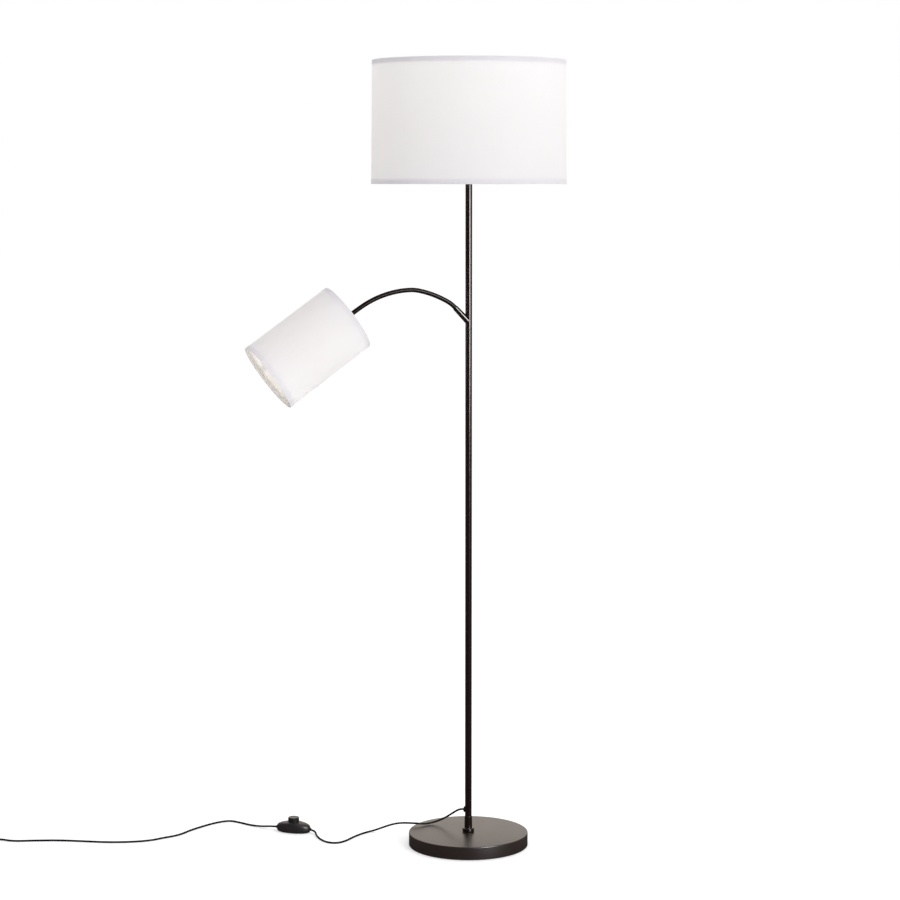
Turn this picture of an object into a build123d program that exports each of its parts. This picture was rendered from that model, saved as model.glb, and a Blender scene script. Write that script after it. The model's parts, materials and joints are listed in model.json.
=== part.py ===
from build123d import *
import os
from math import asin, cos, degrees, pi, radians, sin, sqrt, tan

# Floor lamp: round weighted base, three-piece pole with a drum shade on top, and a bendable arm that
# carries a small reading shade. A foot switch lies in the mains lead, whose spare length is coiled.
# Millimetres. The origin is the centre of the base's underside, on the floor. +Z is up, and the arm
# leaves the pole towards -X.

# ---- base ----
base_radius = 125.0
base_height = 28.0
base_skin = 1.2
base_edge_radius = 2.0
pad_thickness = 2.0
pad_inset = 4.0
weight_clearance = 0.3
nut_pocket_radius = 18.0
nut_pocket_depth = 10.0

# ---- threaded tubes that hold the lamp together ----
thread_radius = 4.95
thread_bore_radius = 3.25
thread_hole_radius = 5.0
thread_clear_hole_radius = 5.3
nut_flat_to_flat = 17.0
nut_height = 5.0
washer_radius = 15.0
washer_thickness = 2.0

# ---- collar at the foot of the pole ----
collar_flange_overhang = 4.5
collar_flange_height = 8.0
collar_sleeve_wall = 0.9
collar_height = 33.0
collar_step = 12.0
sleeve_clearance = 0.1

# ---- pole ----
pole_radius = 7.0
pole_wall = 1.5
pole_lower_length = 476.0
pole_middle_length = 475.0
pole_upper_length = 427.0
pole_plug_length = 20.0
pole_end_chamfer = 0.3
joiner_length = 40.0
joiner_clearance = 0.06

# ---- lead outlet in the pole ----
outlet_rise = 47.0
outlet_azimuth = 140.0
bush_flange_radius = 6.2
bush_flange_height = 2.0
bush_neck_radius = 3.9
bush_clearance = 0.1
lead_bend_radius = 5.0
lead_end_inset = 2.5

# ---- bendable arm: a straight root in its socket, then runs of (length, turn down in degrees) ----
arm_root_drop = 317.5
arm_root_angle = 46.0
arm_radius = 4.75
arm_bore_radius = 2.2
arm_lead_radius = 1.5
arm_ball_gap = 0.3
arm_ball_step = 0.05
socket_length = 42.0
socket_root_radius = 6.75
socket_mouth_wall = 0.85
socket_seat_start = 22.0
socket_clearance = 0.1
arm_lengths = [
    [(22.0, 17.0)],
    [(33.0, 8.5)],
    [(33.0, 9.5), (17.0, 12.5)],
    [(28.0, 8.5), (28.0, 8.0)],
    [(48.0, 14.0)],
    [(26.0, 3.75)],
]
arm_end_straight = 15.0
arm_depth_in_head = 14.0

# ---- fabric shades: radius at the pole-top or arm end, and at the other end ----
fabric_thickness = 1.2
trim_thickness = 0.4
trim_glue = 0.1
trim_width = 10.0
ring_wire_radius = 1.6
ring_gap = 0.15
spoke_wire_radius = 1.6
spoke_bend_radius = 8.0
spoke_count = 3
hub_thickness = 1.4
hub_rim = 4.0
weld_gap = 0.1
main_shade_drop = 35.0
main_shade_height = 250.0
main_shade_radius_low = 200.0
main_shade_radius_high = 197.5
reading_shade_length = 205.0
reading_shade_radius_top = 74.0
reading_shade_radius_mouth = 75.0

# ---- lamp holders: (radius of the body, length of the body, and so on) ----
holder_wall = 2.0
cap_floor = 4.0
cap_shoulder = 6.0
main_cap_length = 18.0
main_body_radius = 19.3
main_body_length = 38.0
main_thread_radius = 13.2
main_contact_radius = 4.0
main_shade_seat = 16.0
reading_cap_length = 15.0
reading_body_radius = 14.0
reading_body_length = 32.0
reading_thread_radius = 7.1
reading_contact_radius = 2.2
reading_shade_seat = 13.5
holder_floor = 4.0
contact_height = 3.0
contact_plate = 1.0
contact_plate_rim = 2.0
cap_tip = 2.0
cap_skin = 0.6
shell_wall = 0.5
shell_inset = 3.0
flange_height = 2.0
flange_overhang = 3.5
clamp_ring_height = 7.0
clamp_ring_overhang = 5.5
fit_gap = 0.15

# ---- lamps ----
main_bulb_radius = 30.0
main_bulb_rise = 78.0
reading_bulb_radius = 22.5
reading_bulb_rise = 52.0
glass_thickness = 1.0
cap_shell_gap = 0.2
glass_lift = 1.0

# ---- mains lead, switch, plug ----
cord_diameter = 4.0
cord_floor_gap = 0.1
switch_x = -328.5
switch_y = 205.3
switch_heading = -34.5
switch_length = 76.5
switch_side_room = 6.0
switch_foot_length = 62.0
switch_waist = 7.0
switch_dome_height = 22.8
switch_wall = 1.8
spring_post_rise = 4.0
switch_joint_gap = 0.05
switch_cord_height = 8.0
switch_collar_wall = 2.1
switch_collar_low = 14.5
button_radius = 11.75
button_top = 32.0
button_gap = 0.35
button_flange_rim = 1.25
button_flange_height = 1.6
button_wall = 1.6
button_edge_radius = 1.6
button_travel = 3.5
spring_wire_radius = 0.4
spring_radius = 4.5
spring_turns = 5
screw_room = 7.5
screw_radius = 1.4
screw_head_radius = 2.8
screw_length = 11.0
boss_radius = 3.2
cord_end_in_switch = 28.0
relief_length = 3.2
relief_root_depth = 1.5
cord_way_gap = 0.3
clamp_length = 4.4
clamp_width = 8.0
clamp_height = 2.2
blade_length = 12.0
blade_width = 4.0
blade_thickness = 0.6
blade_rise = 4.6
blade_offset = 10.0
blade_aside = 7.5
spring_seat_gap = 0.05
relief_root_radius = 3.3
relief_tip_radius = 2.8

coil_centre = (-979.0, 339.9)
coil_entry_heading = 197.5
coil_radius = 29.0
coil_gap = 0.6
coil_turns_in = 2.5
coil_turns_out = 2.25
coil_floor_gap = 1.0
coil_end_run = 14.0
tie_width = 8.0
tie_thickness = 0.8
tie_slack = 0.6
tie_turn = 0.375
tie_corner = 0.7

plug_length = 34.0
plug_width = 26.0
plug_thickness = 14.8
plug_waist = 17.0
plug_waist_thickness = 10.8
plug_straight = 18.7
plug_corner = 5.0
plug_relief_length = 26.0
plug_relief_radius = 4.0
plug_relief_tip_wall = 0.5
plug_pin_radius = 2.0
plug_pin_length = 19.0
plug_pin_root = 10.0
plug_pin_root_radius = 1.7
plug_pin_neck = 0.4
plug_pin_chamfer = 0.8
plug_pin_spacing = 18.6

# ---- heights that follow from these sizes ----
pole_foot = base_height + collar_step
outlet_height = base_height + outlet_rise
first_joint = pole_foot + pole_lower_length
second_joint = first_joint + pole_middle_length
pole_top = second_joint + pole_upper_length
arm_root_height = pole_top - arm_root_drop
main_shade_bottom = pole_top - main_shade_drop
cord_radius = cord_diameter / 2
coil_pitch = cord_diameter + coil_gap
button_flange_radius = button_radius + button_flange_rim
switch_width = 2 * (button_flange_radius + switch_side_room)
screw_offset = button_flange_radius + screw_room
coil_lift = cord_radius + coil_floor_gap
upright = (Align.CENTER, Align.CENTER, Align.MIN)
os.makedirs("parts", exist_ok=True)


def save(node, *solids):
    """Writes one sub-part, a solid or a group of separate solids."""
    shape = solids[0] if len(solids) == 1 else Compound(children=list(solids))
    export_step(shape, f"parts/{node}.step")


def rod(radius, low, high):
    return Pos(0, 0, low) * Cylinder(radius, high - low, align=upright)


def tube(outer, inner, low, high):
    return rod(outer, low, high) - rod(inner, low, high)


def cone_shell(low_radius, high_radius, thickness, low, high, full_height):
    """A slice of a slightly conical wall whose whole height is full_height."""
    slope = (high_radius - low_radius) / full_height
    at_low = low_radius + slope * low
    at_high = low_radius + slope * high
    outer = Cone(at_low, at_high, high - low, align=upright)
    inner = Cone(at_low - thickness, at_high - thickness, high - low, align=upright)
    return Pos(0, 0, low) * (outer - inner)


def from_pole(azimuth, reach, height):
    """A point at a distance from the pole's axis."""
    return (reach * cos(radians(azimuth)), reach * sin(radians(azimuth)), height)


def hexagon(flat_to_flat, low, high):
    return Pos(0, 0, low) * extrude(RegularPolygon(flat_to_flat / 2, 6, major_radius=False), high - low)


# ---- tubes that follow a route ----


def corner_radii(points):
    """Each corner's arc, as large as its two runs allow."""
    radii = []
    for before, corner, after in zip(points, points[1:], points[2:]):
        run_in = Vector(*corner) - Vector(*before)
        run_out = Vector(*after) - Vector(*corner)
        turn = run_in.get_angle(run_out)
        radii.append(0.45 * min(run_in.length, run_out.length) / tan(radians(turn / 2)))
    return radii


def cord_along(name, points):
    radii = corner_radii(points)
    path = FilletPolyline(*points, radius=radii)
    start = Plane(origin=points[0], z_dir=Vector(*points[1]) - Vector(*points[0]))
    solid = sweep(start * Circle(cord_radius), path=path)
    expected = pi * cord_radius**2 * path.length
    print(name, "length", round(path.length, 1), "radii", [round(r, 1) for r in radii])
    print(name, "volume over section times length", round(solid.volume / expected, 4))
    return solid


def biarc_edges(places, headings):
    """Two tangent arcs between each pair of places, square to the headings given there."""
    edges = []
    for p, q, t, u in zip(places, places[1:], headings, headings[1:]):
        chord = q - p
        both = t + u
        spread = 2 * (1 - t.dot(u))
        if spread < 1e-9:
            edges.append(Edge.make_line(p, q))
            continue
        along = chord.dot(both)
        reach = (sqrt(along**2 + spread * chord.dot(chord)) - along) / spread
        first_end = p + t * reach
        last_start = q - u * reach
        middle = (first_end + last_start) * 0.5
        edges.append(Edge.make_tangent_arc(p, t, middle))
        edges.append(Edge.make_tangent_arc(middle, last_start - first_end, q))
    return edges


def wound_tube(name, radius, place_at, steps, lead_in, lead_out):
    """One unbroken tube through place_at(turn), with a straight run at each end."""
    small = 1e-5
    places = [place_at(turn) for turn in steps]
    headings = [(place_at(turn + small) - place_at(turn - small)).normalized() for turn in steps]
    headings[0] = Vector(headings[0].X, headings[0].Y, 0).normalized()
    headings[-1] = Vector(headings[-1].X, headings[-1].Y, 0).normalized()
    start = places[0] - headings[0] * lead_in
    end = places[-1] + headings[-1] * lead_out
    edges = [Edge.make_line(start, places[0])]
    edges += biarc_edges(places, headings)
    edges.append(Edge.make_line(places[-1], end))
    path = Wire(edges)
    solid = sweep(Plane(origin=start, z_dir=headings[0]) * Circle(radius), path=path)
    print(name, "length", round(path.length, 1), "least gap", round(own_gap(path, radius), 2))
    print(name, "volume over section times length", round(solid.volume / (pi * radius**2 * path.length), 4))
    return solid, end, headings[-1]


gap_step = 1.5


def own_gap(path, radius):
    """The least gap between two stretches of a wound tube, measured on points along it."""
    count = int(path.length / gap_step)
    points = [path.position_at(i / count) for i in range(count + 1)]
    apart = int(4 * radius / gap_step) + 2
    least = min((points[i] - points[j]).length for i in range(count) for j in range(i + apart, count + 1))
    return least - 2 * radius


# ---- base ----


def build_base():
    pad = rod(base_radius - pad_inset, 0, pad_thickness)
    save("base_pad", pad)

    weight_top = base_height - base_skin
    weight = rod(base_radius - base_skin - weight_clearance, pad_thickness, weight_top)
    weight -= rod(nut_pocket_radius, pad_thickness, pad_thickness + nut_pocket_depth)
    weight -= rod(thread_clear_hole_radius, 0, base_height)
    save("base_weight", weight)

    skirt_bottom = pad_thickness / 2
    cover = rod(base_radius, skirt_bottom, base_height)
    cover = fillet(cover.edges().group_by(Axis.Z)[-1], base_edge_radius)
    cover -= rod(base_radius - base_skin, skirt_bottom, weight_top)
    cover -= rod(thread_clear_hole_radius, 0, base_height)
    save("base_cover", cover)

    washer_top = pad_thickness + nut_pocket_depth
    nut_top = washer_top - washer_thickness
    nipple_bottom = nut_top - nut_height - 1
    save("base_washer", tube(washer_radius, thread_clear_hole_radius, nut_top, washer_top))
    nut = hexagon(nut_flat_to_flat, nut_top - nut_height, nut_top)
    save("base_nut", nut - rod(thread_hole_radius, 0, base_height))

    nipple_top = pole_foot + pole_plug_length - 2
    save("base_nipple", tube(thread_radius, thread_bore_radius, nipple_bottom, nipple_top))

    sleeve_radius = pole_radius + sleeve_clearance + collar_sleeve_wall
    flange = rod(sleeve_radius + collar_flange_overhang, base_height, base_height + collar_flange_height)
    flange = fillet(flange.edges(), collar_flange_height * 0.42)
    collar = flange + rod(sleeve_radius, base_height, base_height + collar_height)
    collar -= rod(thread_clear_hole_radius, base_height, pole_foot)
    collar -= rod(pole_radius + sleeve_clearance, pole_foot, base_height + collar_height)
    save("base_collar", collar)


# ---- pole ----


def pole_section(low, high, plug_low, plug_high):
    """A tube whose ends are chamfered, with a threaded plug welded in where asked."""
    outer = rod(pole_radius, low, high)
    rims = outer.edges().group_by(Axis.Z)
    outer = chamfer(rims[0] + rims[-1], pole_end_chamfer)
    section = outer - rod(pole_radius - pole_wall, low, high)
    if plug_low:
        section += tube(pole_radius - pole_wall, thread_hole_radius, low, low + pole_plug_length)
    if plug_high:
        section += tube(pole_radius - pole_wall, thread_hole_radius, high - pole_plug_length, high)
    return section


def build_pole():
    outlet = Plane(origin=(0, 0, outlet_height), z_dir=from_pole(outlet_azimuth, 1, 0))
    lower = pole_section(pole_foot, first_joint, True, False)
    lower -= outlet * rod(bush_neck_radius + bush_clearance, 0, 2 * pole_radius)
    save("pole_lower", lower)
    save("pole_middle", pole_section(first_joint, second_joint, False, False))

    arm_line = Plane(origin=(0, 0, arm_root_height), z_dir=heading_vector(arm_root_angle))
    upper = pole_section(second_joint, pole_top, False, True)
    upper -= arm_line * rod(arm_bore_radius, 0, 2 * pole_radius)
    save("pole_upper", upper)

    joiner_outer = pole_radius - pole_wall - joiner_clearance
    joiners = []
    for joint in (first_joint, second_joint):
        low = joint - joiner_length / 2
        joiners.append(tube(joiner_outer, thread_bore_radius, low, low + joiner_length))
    save("pole_joiners", *joiners)

    bush = outlet * rod(bush_flange_radius, 0, pole_radius + bush_flange_height)
    bush -= rod(pole_radius, 0, pole_top)
    neck = outlet * rod(bush_neck_radius, pole_radius - pole_wall - 0.5, pole_radius + 0.5)
    bush = bush + neck - outlet * rod(cord_radius + bush_clearance, 0, 3 * pole_radius)
    save("outlet_bush", bush)

    lead_points = [from_pole(outlet_azimuth, 0, pole_top - 4), (0, 0, outlet_height)]
    lead_points.append(from_pole(outlet_azimuth, cord_start, outlet_height))
    lead_path = FilletPolyline(*lead_points, radius=min(lead_bend_radius, cord_start - 0.3))
    lead_start = Plane(origin=lead_points[0], z_dir=(0, 0, -1))
    save("pole_lead", sweep(lead_start * Circle(cord_radius), path=lead_path))


# ---- bendable arm ----


def heading_vector(angle):
    """A direction in the arm's plane: away from the pole, raised by the angle."""
    return Vector(-cos(radians(angle)), 0, sin(radians(angle)))


def arm_run(start, angle, length, turn):
    """One run of the arm, bending down by turn: its arc, its end and the heading there."""
    if turn == 0:
        end = start + heading_vector(angle) * length
        return Edge.make_line(start, end), end, angle
    chord = 2 * (length / radians(turn)) * sin(radians(turn / 2))
    end = start + heading_vector(angle - turn / 2) * chord
    return Edge.make_tangent_arc(start, heading_vector(angle), end), end, angle - turn


def build_arm():
    root = Vector(0, 0, arm_root_height)
    line = Plane(origin=root, z_dir=heading_vector(arm_root_angle))
    mouth_radius = arm_radius + socket_clearance + socket_mouth_wall
    socket = line * Cone(socket_root_radius, mouth_radius, socket_length, align=upright)
    socket -= rod(pole_radius, 0, pole_top)
    socket -= line * rod(arm_radius + socket_clearance, socket_seat_start, socket_length)
    socket -= line * rod(arm_bore_radius, 0, socket_length)
    save("arm_socket", socket)

    angle = arm_root_angle
    seat = root + heading_vector(angle) * (socket_seat_start + 1)
    place = root + heading_vector(angle) * socket_length
    opening_runs = [Edge.make_line(seat, place)]
    hinges = []
    pieces = []
    lead_edges = [Edge.make_line(root + heading_vector(angle) * (pole_radius + 4), place)]
    for number, runs in enumerate(arm_lengths, start=1):
        begin = seat if number == 1 else place
        begin_angle = angle
        edges = opening_runs if number == 1 else []
        for length, turn in runs:
            edge, place, angle = arm_run(place, angle, length, turn)
            edges = edges + [edge]
            lead_edges.append(edge)
        if number == len(arm_lengths):
            edge, place, angle = arm_run(place, angle, arm_end_straight, 0)
            mouth = place
            last, place, angle = arm_run(place, angle, arm_depth_in_head, 0)
            edges = edges + [Edge.make_line(edge @ 0, last @ 1)]
            lead_edges.append(Edge.make_line(edge @ 0, last @ 1))
        path = Wire(edges)
        section = Plane(origin=begin, z_dir=heading_vector(begin_angle))
        piece = sweep(section * Circle(arm_radius), path=path)
        if number > 1:
            piece += Pos(begin) * Sphere(arm_radius - arm_ball_step)
        if number < len(arm_lengths):
            piece -= Pos(place) * Sphere(arm_radius + arm_ball_gap)
            hinges.append(place)
        pieces.append(piece)
    lead_path = Wire(lead_edges)
    lead_section = Plane(origin=lead_path @ 0, z_dir=heading_vector(arm_root_angle))
    passage = sweep(lead_section * Circle(arm_bore_radius), path=lead_path)
    for number, piece in enumerate(pieces, start=1):
        save(f"gooseneck_{number}", piece - passage)
    save("gooseneck_lead", sweep(lead_section * Circle(arm_lead_radius), path=lead_path))
    for number, hinge in enumerate(hinges, start=1):
        print("arm hinge", number, [round(value, 2) for value in hinge])
    print("reading shade axis from", [round(value, 2) for value in mouth])
    print("reading shade axis falls", round(-angle, 2), "degrees")
    return Plane(origin=mouth, x_dir=(0, 1, 0), z_dir=heading_vector(angle))


# ---- lamp holder and lamp, along +Z from the seat at zero ----


def build_light(name, frame, seat, sizes):
    """Holder, contacts and lamp. The holder's cap stands on the seat. Returns the shade's seat."""
    body_radius, body_length, shade_at, thread, contact_radius, cap_length, bulb_radius, bulb_rise = sizes
    cap_top = seat + cap_length
    cap = rod(body_radius, seat, cap_top)
    cap = fillet(cap.edges().group_by(Axis.Z)[0], cap_shoulder)
    hollow = rod(body_radius - holder_wall, seat + cap_floor, cap_top)
    cap -= fillet(hollow.edges().group_by(Axis.Z)[0], cap_shoulder - holder_wall)
    cap -= rod(thread_hole_radius, seat, cap_top)
    save(f"{name}_holder_cap", frame * cap)

    body_top = cap_top + body_length
    shade_seat = cap_top + shade_at
    body = rod(body_radius, cap_top, body_top)
    body += rod(body_radius + flange_overhang, shade_seat - flange_height, shade_seat)
    body -= rod(thread + shell_wall + fit_gap, cap_top + holder_floor, body_top)
    body -= rod(contact_radius + fit_gap, cap_top, body_top)
    save(f"{name}_holder_body", frame * body)

    clamp_low = shade_seat + hub_thickness
    clamp = rod(body_radius + clamp_ring_overhang, clamp_low, clamp_low + clamp_ring_height)
    clamp = chamfer(clamp.edges().group_by(Axis.Z)[-1], 1.0)
    clamp -= rod(body_radius + fit_gap, clamp_low, clamp_low + clamp_ring_height)
    save(f"{name}_holder_ring", frame * clamp)

    floor = cap_top + holder_floor
    contact = rod(contact_radius, cap_top, floor + contact_height)
    contact += rod(contact_radius + contact_plate_rim, floor, floor + contact_plate)
    save(f"{name}_holder_contact", frame * contact)
    shell_low = floor + contact_height
    shell_high = body_top - shell_inset
    save(f"{name}_holder_shell", frame * tube(thread + shell_wall, thread, shell_low, shell_high))

    neck = body_top + glass_lift
    cap_radius = thread - cap_shell_gap
    bulb_cap = rod(cap_radius, shell_low + cap_tip, neck) + rod(contact_radius, shell_low, neck)
    bulb_cap -= rod(cap_radius - cap_skin, shell_low + 2 * cap_tip, neck)
    save(f"{name}_bulb_cap", frame * bulb_cap)

    centre = neck + bulb_rise - bulb_radius
    glass = bulb(neck, cap_radius, centre, bulb_radius)
    inside = bulb(neck, cap_radius - glass_thickness, centre, bulb_radius - glass_thickness)
    save(f"{name}_bulb_glass", frame * (glass - inside))
    return shade_seat


def bulb(neck, neck_radius, centre, radius):
    """A ball that narrows to a neck in one tangent sweep."""
    touch_angle = 38.0
    touch = (radius * cos(radians(touch_angle)), centre - radius * sin(radians(touch_angle)))
    down = (-sin(radians(touch_angle)), -cos(radians(touch_angle)))
    ball_side = ThreePointArc((0, centre + radius), (radius, centre), touch)
    throat = TangentArc(touch, (neck_radius, neck), tangent=down)
    neck_end = Line((neck_radius, neck), (0, neck))
    middle = Line((0, neck), (0, centre + radius))
    return revolve(Plane.XZ * make_face(Wire([ball_side, throat, neck_end, middle])), Axis.Z)


# ---- fabric shade on its wire frame, along +Z ----


def build_shade(name, frame, low, low_radius, high_radius, height, hub_radius, hub_low, ring_end):
    """ring_end is the height of the rim that the spokes are bent towards."""
    place = frame * Pos(0, 0, low)
    skin_low = low_radius - trim_thickness - trim_glue
    skin_high = high_radius - trim_thickness - trim_glue
    wall = cone_shell(skin_low, skin_high, fabric_thickness, 0, height, height)
    save(f"{name}_shade_fabric", place * wall)
    low_trim = cone_shell(low_radius, high_radius, trim_thickness, 0, trim_width, height)
    high_trim = cone_shell(low_radius, high_radius, trim_thickness, height - trim_width, height, height)
    save(f"{name}_shade_trim", place * low_trim, place * high_trim)

    inner_low = skin_low - fabric_thickness - ring_wire_radius - ring_gap
    inner_high = skin_high - fabric_thickness - ring_wire_radius - ring_gap
    rise = ring_wire_radius + 1.0
    slope = (inner_high - inner_low) / height
    rings = []
    for at in (rise, height - rise):
        ring_radius = inner_low + slope * at
        rings.append(place * Pos(0, 0, at) * Torus(ring_radius, ring_wire_radius))
    save(f"{name}_shade_rings", *rings)

    leg_radius = inner_low + slope * ring_end - ring_wire_radius - spoke_wire_radius - weld_gap
    hub_outer = hub_radius + clamp_ring_overhang + hub_rim
    fitter = tube(hub_outer, hub_radius + fit_gap, hub_low, hub_low + hub_thickness)
    at_hub = (hub_outer - hub_rim / 2, 0, hub_low + hub_thickness / 2)
    at_wall = (leg_radius, 0, hub_low + hub_thickness / 2)
    at_ring = (leg_radius, 0, low + ring_end)
    path = FilletPolyline(at_hub, at_wall, at_ring, radius=spoke_bend_radius)
    spoke = sweep(Plane(origin=at_hub, z_dir=(1, 0, 0)) * Circle(spoke_wire_radius), path=path)
    toe = Pos(at_ring) * Sphere(spoke_wire_radius)
    for number in range(spoke_count):
        fitter += Rot(0, 0, 60 + number * 360 / spoke_count) * (spoke + toe)
    save(f"{name}_shade_fitter", frame * fitter)


# ---- foot switch, along its own X axis ----


def switch_frame():
    return Pos(switch_x, switch_y, 0) * Rot(0, 0, switch_heading)


def switch_point(along, height):
    turned = radians(switch_heading)
    return (switch_x + along * cos(turned), switch_y + along * sin(turned), height)


def switch_form(shrink):
    """The closed oval body, drawn in all round by shrink."""
    half = switch_length / 2 - shrink
    foot = switch_foot_length / 2 - shrink
    top = switch_dome_height - shrink
    waist = switch_waist
    low = shrink
    side = half - 0.29 * (half - foot)
    lower = ThreePointArc((foot, low), (side, low + 0.29 * (waist - low)), (half, waist))
    upper = EllipticalCenterArc((0, waist), half, top - waist, start_angle=0, arc_size=90)
    outline = [Line((0, low), (foot, low)), lower, upper, Line((0, top), (0, low))]
    round_form = revolve(Plane.XZ * make_face(Wire(outline)), Axis.Z)
    across = (switch_width / 2 - shrink) / half
    return scale(round_form, by=(1, across, 1))


def build_switch():
    frame = switch_frame()
    halves = 2 * switch_length
    above = Pos(0, 0, switch_waist + switch_joint_gap) * Box(halves, halves, halves, align=upright)
    below = Pos(0, 0, switch_waist - halves) * Box(halves, halves, halves, align=upright)
    skin = switch_form(0) - switch_form(switch_wall)
    cord_way = rod(cord_radius + cord_way_gap, -switch_length, switch_length)
    cord_way = Pos(0, 0, switch_cord_height) * Rot(0, 90, 0) * cord_way
    sides = (-1, 1)

    base = skin & below
    post_radius = spring_radius - spring_wire_radius - 2 * button_gap
    base += rod(post_radius, switch_wall / 2, switch_wall + spring_post_rise)
    for side in sides:
        base -= Pos(side * screw_offset, 0, 0) * rod(screw_radius + button_gap, 0, 2 * switch_wall)
        base -= Pos(side * screw_offset, 0, 0) * rod(screw_head_radius + button_gap, 0, switch_wall / 2)
    save("switch_base", frame * (base - cord_way))

    cover = skin & above
    collar_radius = button_radius + button_gap + switch_collar_wall
    cover += tube(collar_radius, button_radius, switch_collar_low, switch_dome_height) & switch_form(0)
    cover -= rod(button_radius + button_gap, 0, 2 * switch_dome_height)
    for side in sides:
        boss = rod(boss_radius, switch_wall + button_gap, switch_dome_height)
        boss = Pos(side * screw_offset, 0, 0) * boss
        cover += boss & switch_form(switch_wall / 2)
        cover -= Pos(side * screw_offset, 0, 0) * rod(screw_radius, 0, switch_wall + screw_length)
    save("switch_cover", frame * (cover - cord_way))

    flange_top = switch_collar_low - button_gap
    skirt = flange_top - button_flange_height
    button = rod(button_radius, skirt, button_top)
    button = fillet(button.edges().group_by(Axis.Z)[-1], button_edge_radius)
    button += rod(button_flange_radius, skirt, flange_top)
    button -= rod(button_radius - button_wall, 0, button_top - button_wall)
    save("switch_button", frame * button)
    print("button skirt when pressed", round(skirt - button_travel, 2), "over a floor at", switch_wall)

    spring_low = switch_wall + spring_wire_radius + spring_seat_gap
    spring_high = button_top - button_wall - spring_wire_radius - spring_seat_gap

    def spring_place(turn):
        share = turn / spring_turns
        around = 2 * pi * turn
        height = spring_low + (spring_high - spring_low) * share
        return Vector(spring_radius * cos(around), spring_radius * sin(around), height)

    steps = [step / 2 for step in range(2 * spring_turns + 1)]
    ends = 2 * spring_wire_radius
    spring = wound_tube("switch_spring", spring_wire_radius, spring_place, steps, ends, ends)[0]
    save("switch_spring", frame * spring)

    blades = []
    blade = Box(blade_length, blade_width, blade_thickness, align=upright)
    upstand = Box(blade_thickness, blade_width, blade_rise, align=upright)
    blade += Pos((blade_length - blade_thickness) / 2, 0, 0) * upstand
    for side in sides:
        turned = Rot(0, 0, 90 - side * 90) * Pos(blade_offset, blade_aside, switch_wall + spring_seat_gap)
        blades.append(frame * turned * blade)
    save("switch_contacts", *blades)

    screws = []
    clamps = []
    reliefs = []
    cord_hole = Rot(0, 90, 0) * Cylinder(cord_radius + bush_clearance, switch_length)
    clamp = Box(clamp_length, clamp_width, clamp_height, align=upright)
    clamp = Pos(0, 0, cord_radius - clamp_height / 2) * clamp - cord_hole
    clamp_middle = cord_end_in_switch + clamp_length / 2
    for side in sides:
        screw = rod(screw_radius - spring_seat_gap, switch_wall / 6, switch_wall + screw_length - button_gap)
        screw += rod(screw_head_radius, switch_wall / 6, switch_wall / 2 - spring_seat_gap)
        screws.append(frame * Pos(side * screw_offset, 0, 0) * screw)
        clamps.append(frame * Pos(side * clamp_middle, 0, switch_cord_height) * clamp)
        sleeve = Cone(relief_root_radius, relief_tip_radius, relief_length, align=upright)
        sleeve = Pos(0, 0, switch_length / 2 - relief_root_depth) * sleeve - switch_end_wall(side)
        sleeve -= rod(cord_radius + bush_clearance, 0, switch_length)
        reliefs.append(frame * Pos(0, 0, switch_cord_height) * Rot(0, side * 90, 0) * sleeve)
    save("switch_screws", *screws)
    save("switch_clamps", *clamps)
    save("switch_reliefs", *reliefs)


def switch_end_wall(side):
    """The switch body as the strain relief meets it, turned into the relief's own axis."""
    return Rot(0, -side * 90, 0) * Pos(0, 0, -switch_cord_height) * switch_form(0)


# ---- mains lead ----

cord_start = pole_radius - lead_end_inset
cord_low = cord_radius + cord_floor_gap
on_base = base_height + cord_radius + 0.3
over_edge = base_height + cord_radius + cord_diameter


def route_to_switch():
    """From the outlet down to the base, over its edge and along the floor to the foot switch."""
    return [
        from_pole(outlet_azimuth, cord_start, outlet_height),
        from_pole(outlet_azimuth, 18.5, outlet_height),
        (-19.5, 24.5, 66.0),
        (-24.5, 41.0, 52.5),
        (-30.5, 58.5, 40.5),
        (-39.5, 73.0, 33.0),
        (-54.0, 78.5, on_base + 0.3),
        (-72.0, 73.5, on_base),
        (-92.0, 70.5, over_edge),
        (-108.5, 79.5, over_edge),
        (-121.5, 97.5, 30.5),
        (-133.5, 118.5, 23.0),
        (-147.0, 139.0, 12.5),
        (-165.0, 151.0, 3.5),
        (-187.0, 144.5, cord_low),
        (-205.0, 131.0, cord_low),
        (-223.0, 114.5, cord_low),
        (-241.0, 94.5, cord_low),
        (-262.0, 82.0, cord_low),
        (-282.0, 90.0, cord_low),
        (-289.0, 112.0, cord_low),
        (-289.5, 136.0, cord_low),
        (-288.5, 154.5, 4.0),
        switch_point(50.0, switch_cord_height),
        switch_point(cord_end_in_switch, switch_cord_height),
    ]


def coil_line(turn):
    """The coil's middle line: it winds in, climbs a layer in half a turn, and winds out again."""
    layer = coil_pitch
    inner = coil_radius - coil_pitch * coil_turns_in
    if turn <= coil_turns_in:
        radius = coil_radius - coil_pitch * turn
        height = coil_lift
    elif turn <= coil_turns_in + 0.5:
        climb = (turn - coil_turns_in) / 0.5
        radius = inner - coil_pitch / 2 * (climb - climb**2)
        height = coil_lift + layer * (3 * climb**2 - 2 * climb**3)
    else:
        radius = inner + coil_pitch * (turn - coil_turns_in - 0.5)
        height = coil_lift + layer
    around = radians(coil_entry_heading + 90) - 2 * pi * turn
    return Vector(coil_centre[0] + radius * cos(around), coil_centre[1] + radius * sin(around), height)


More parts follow.
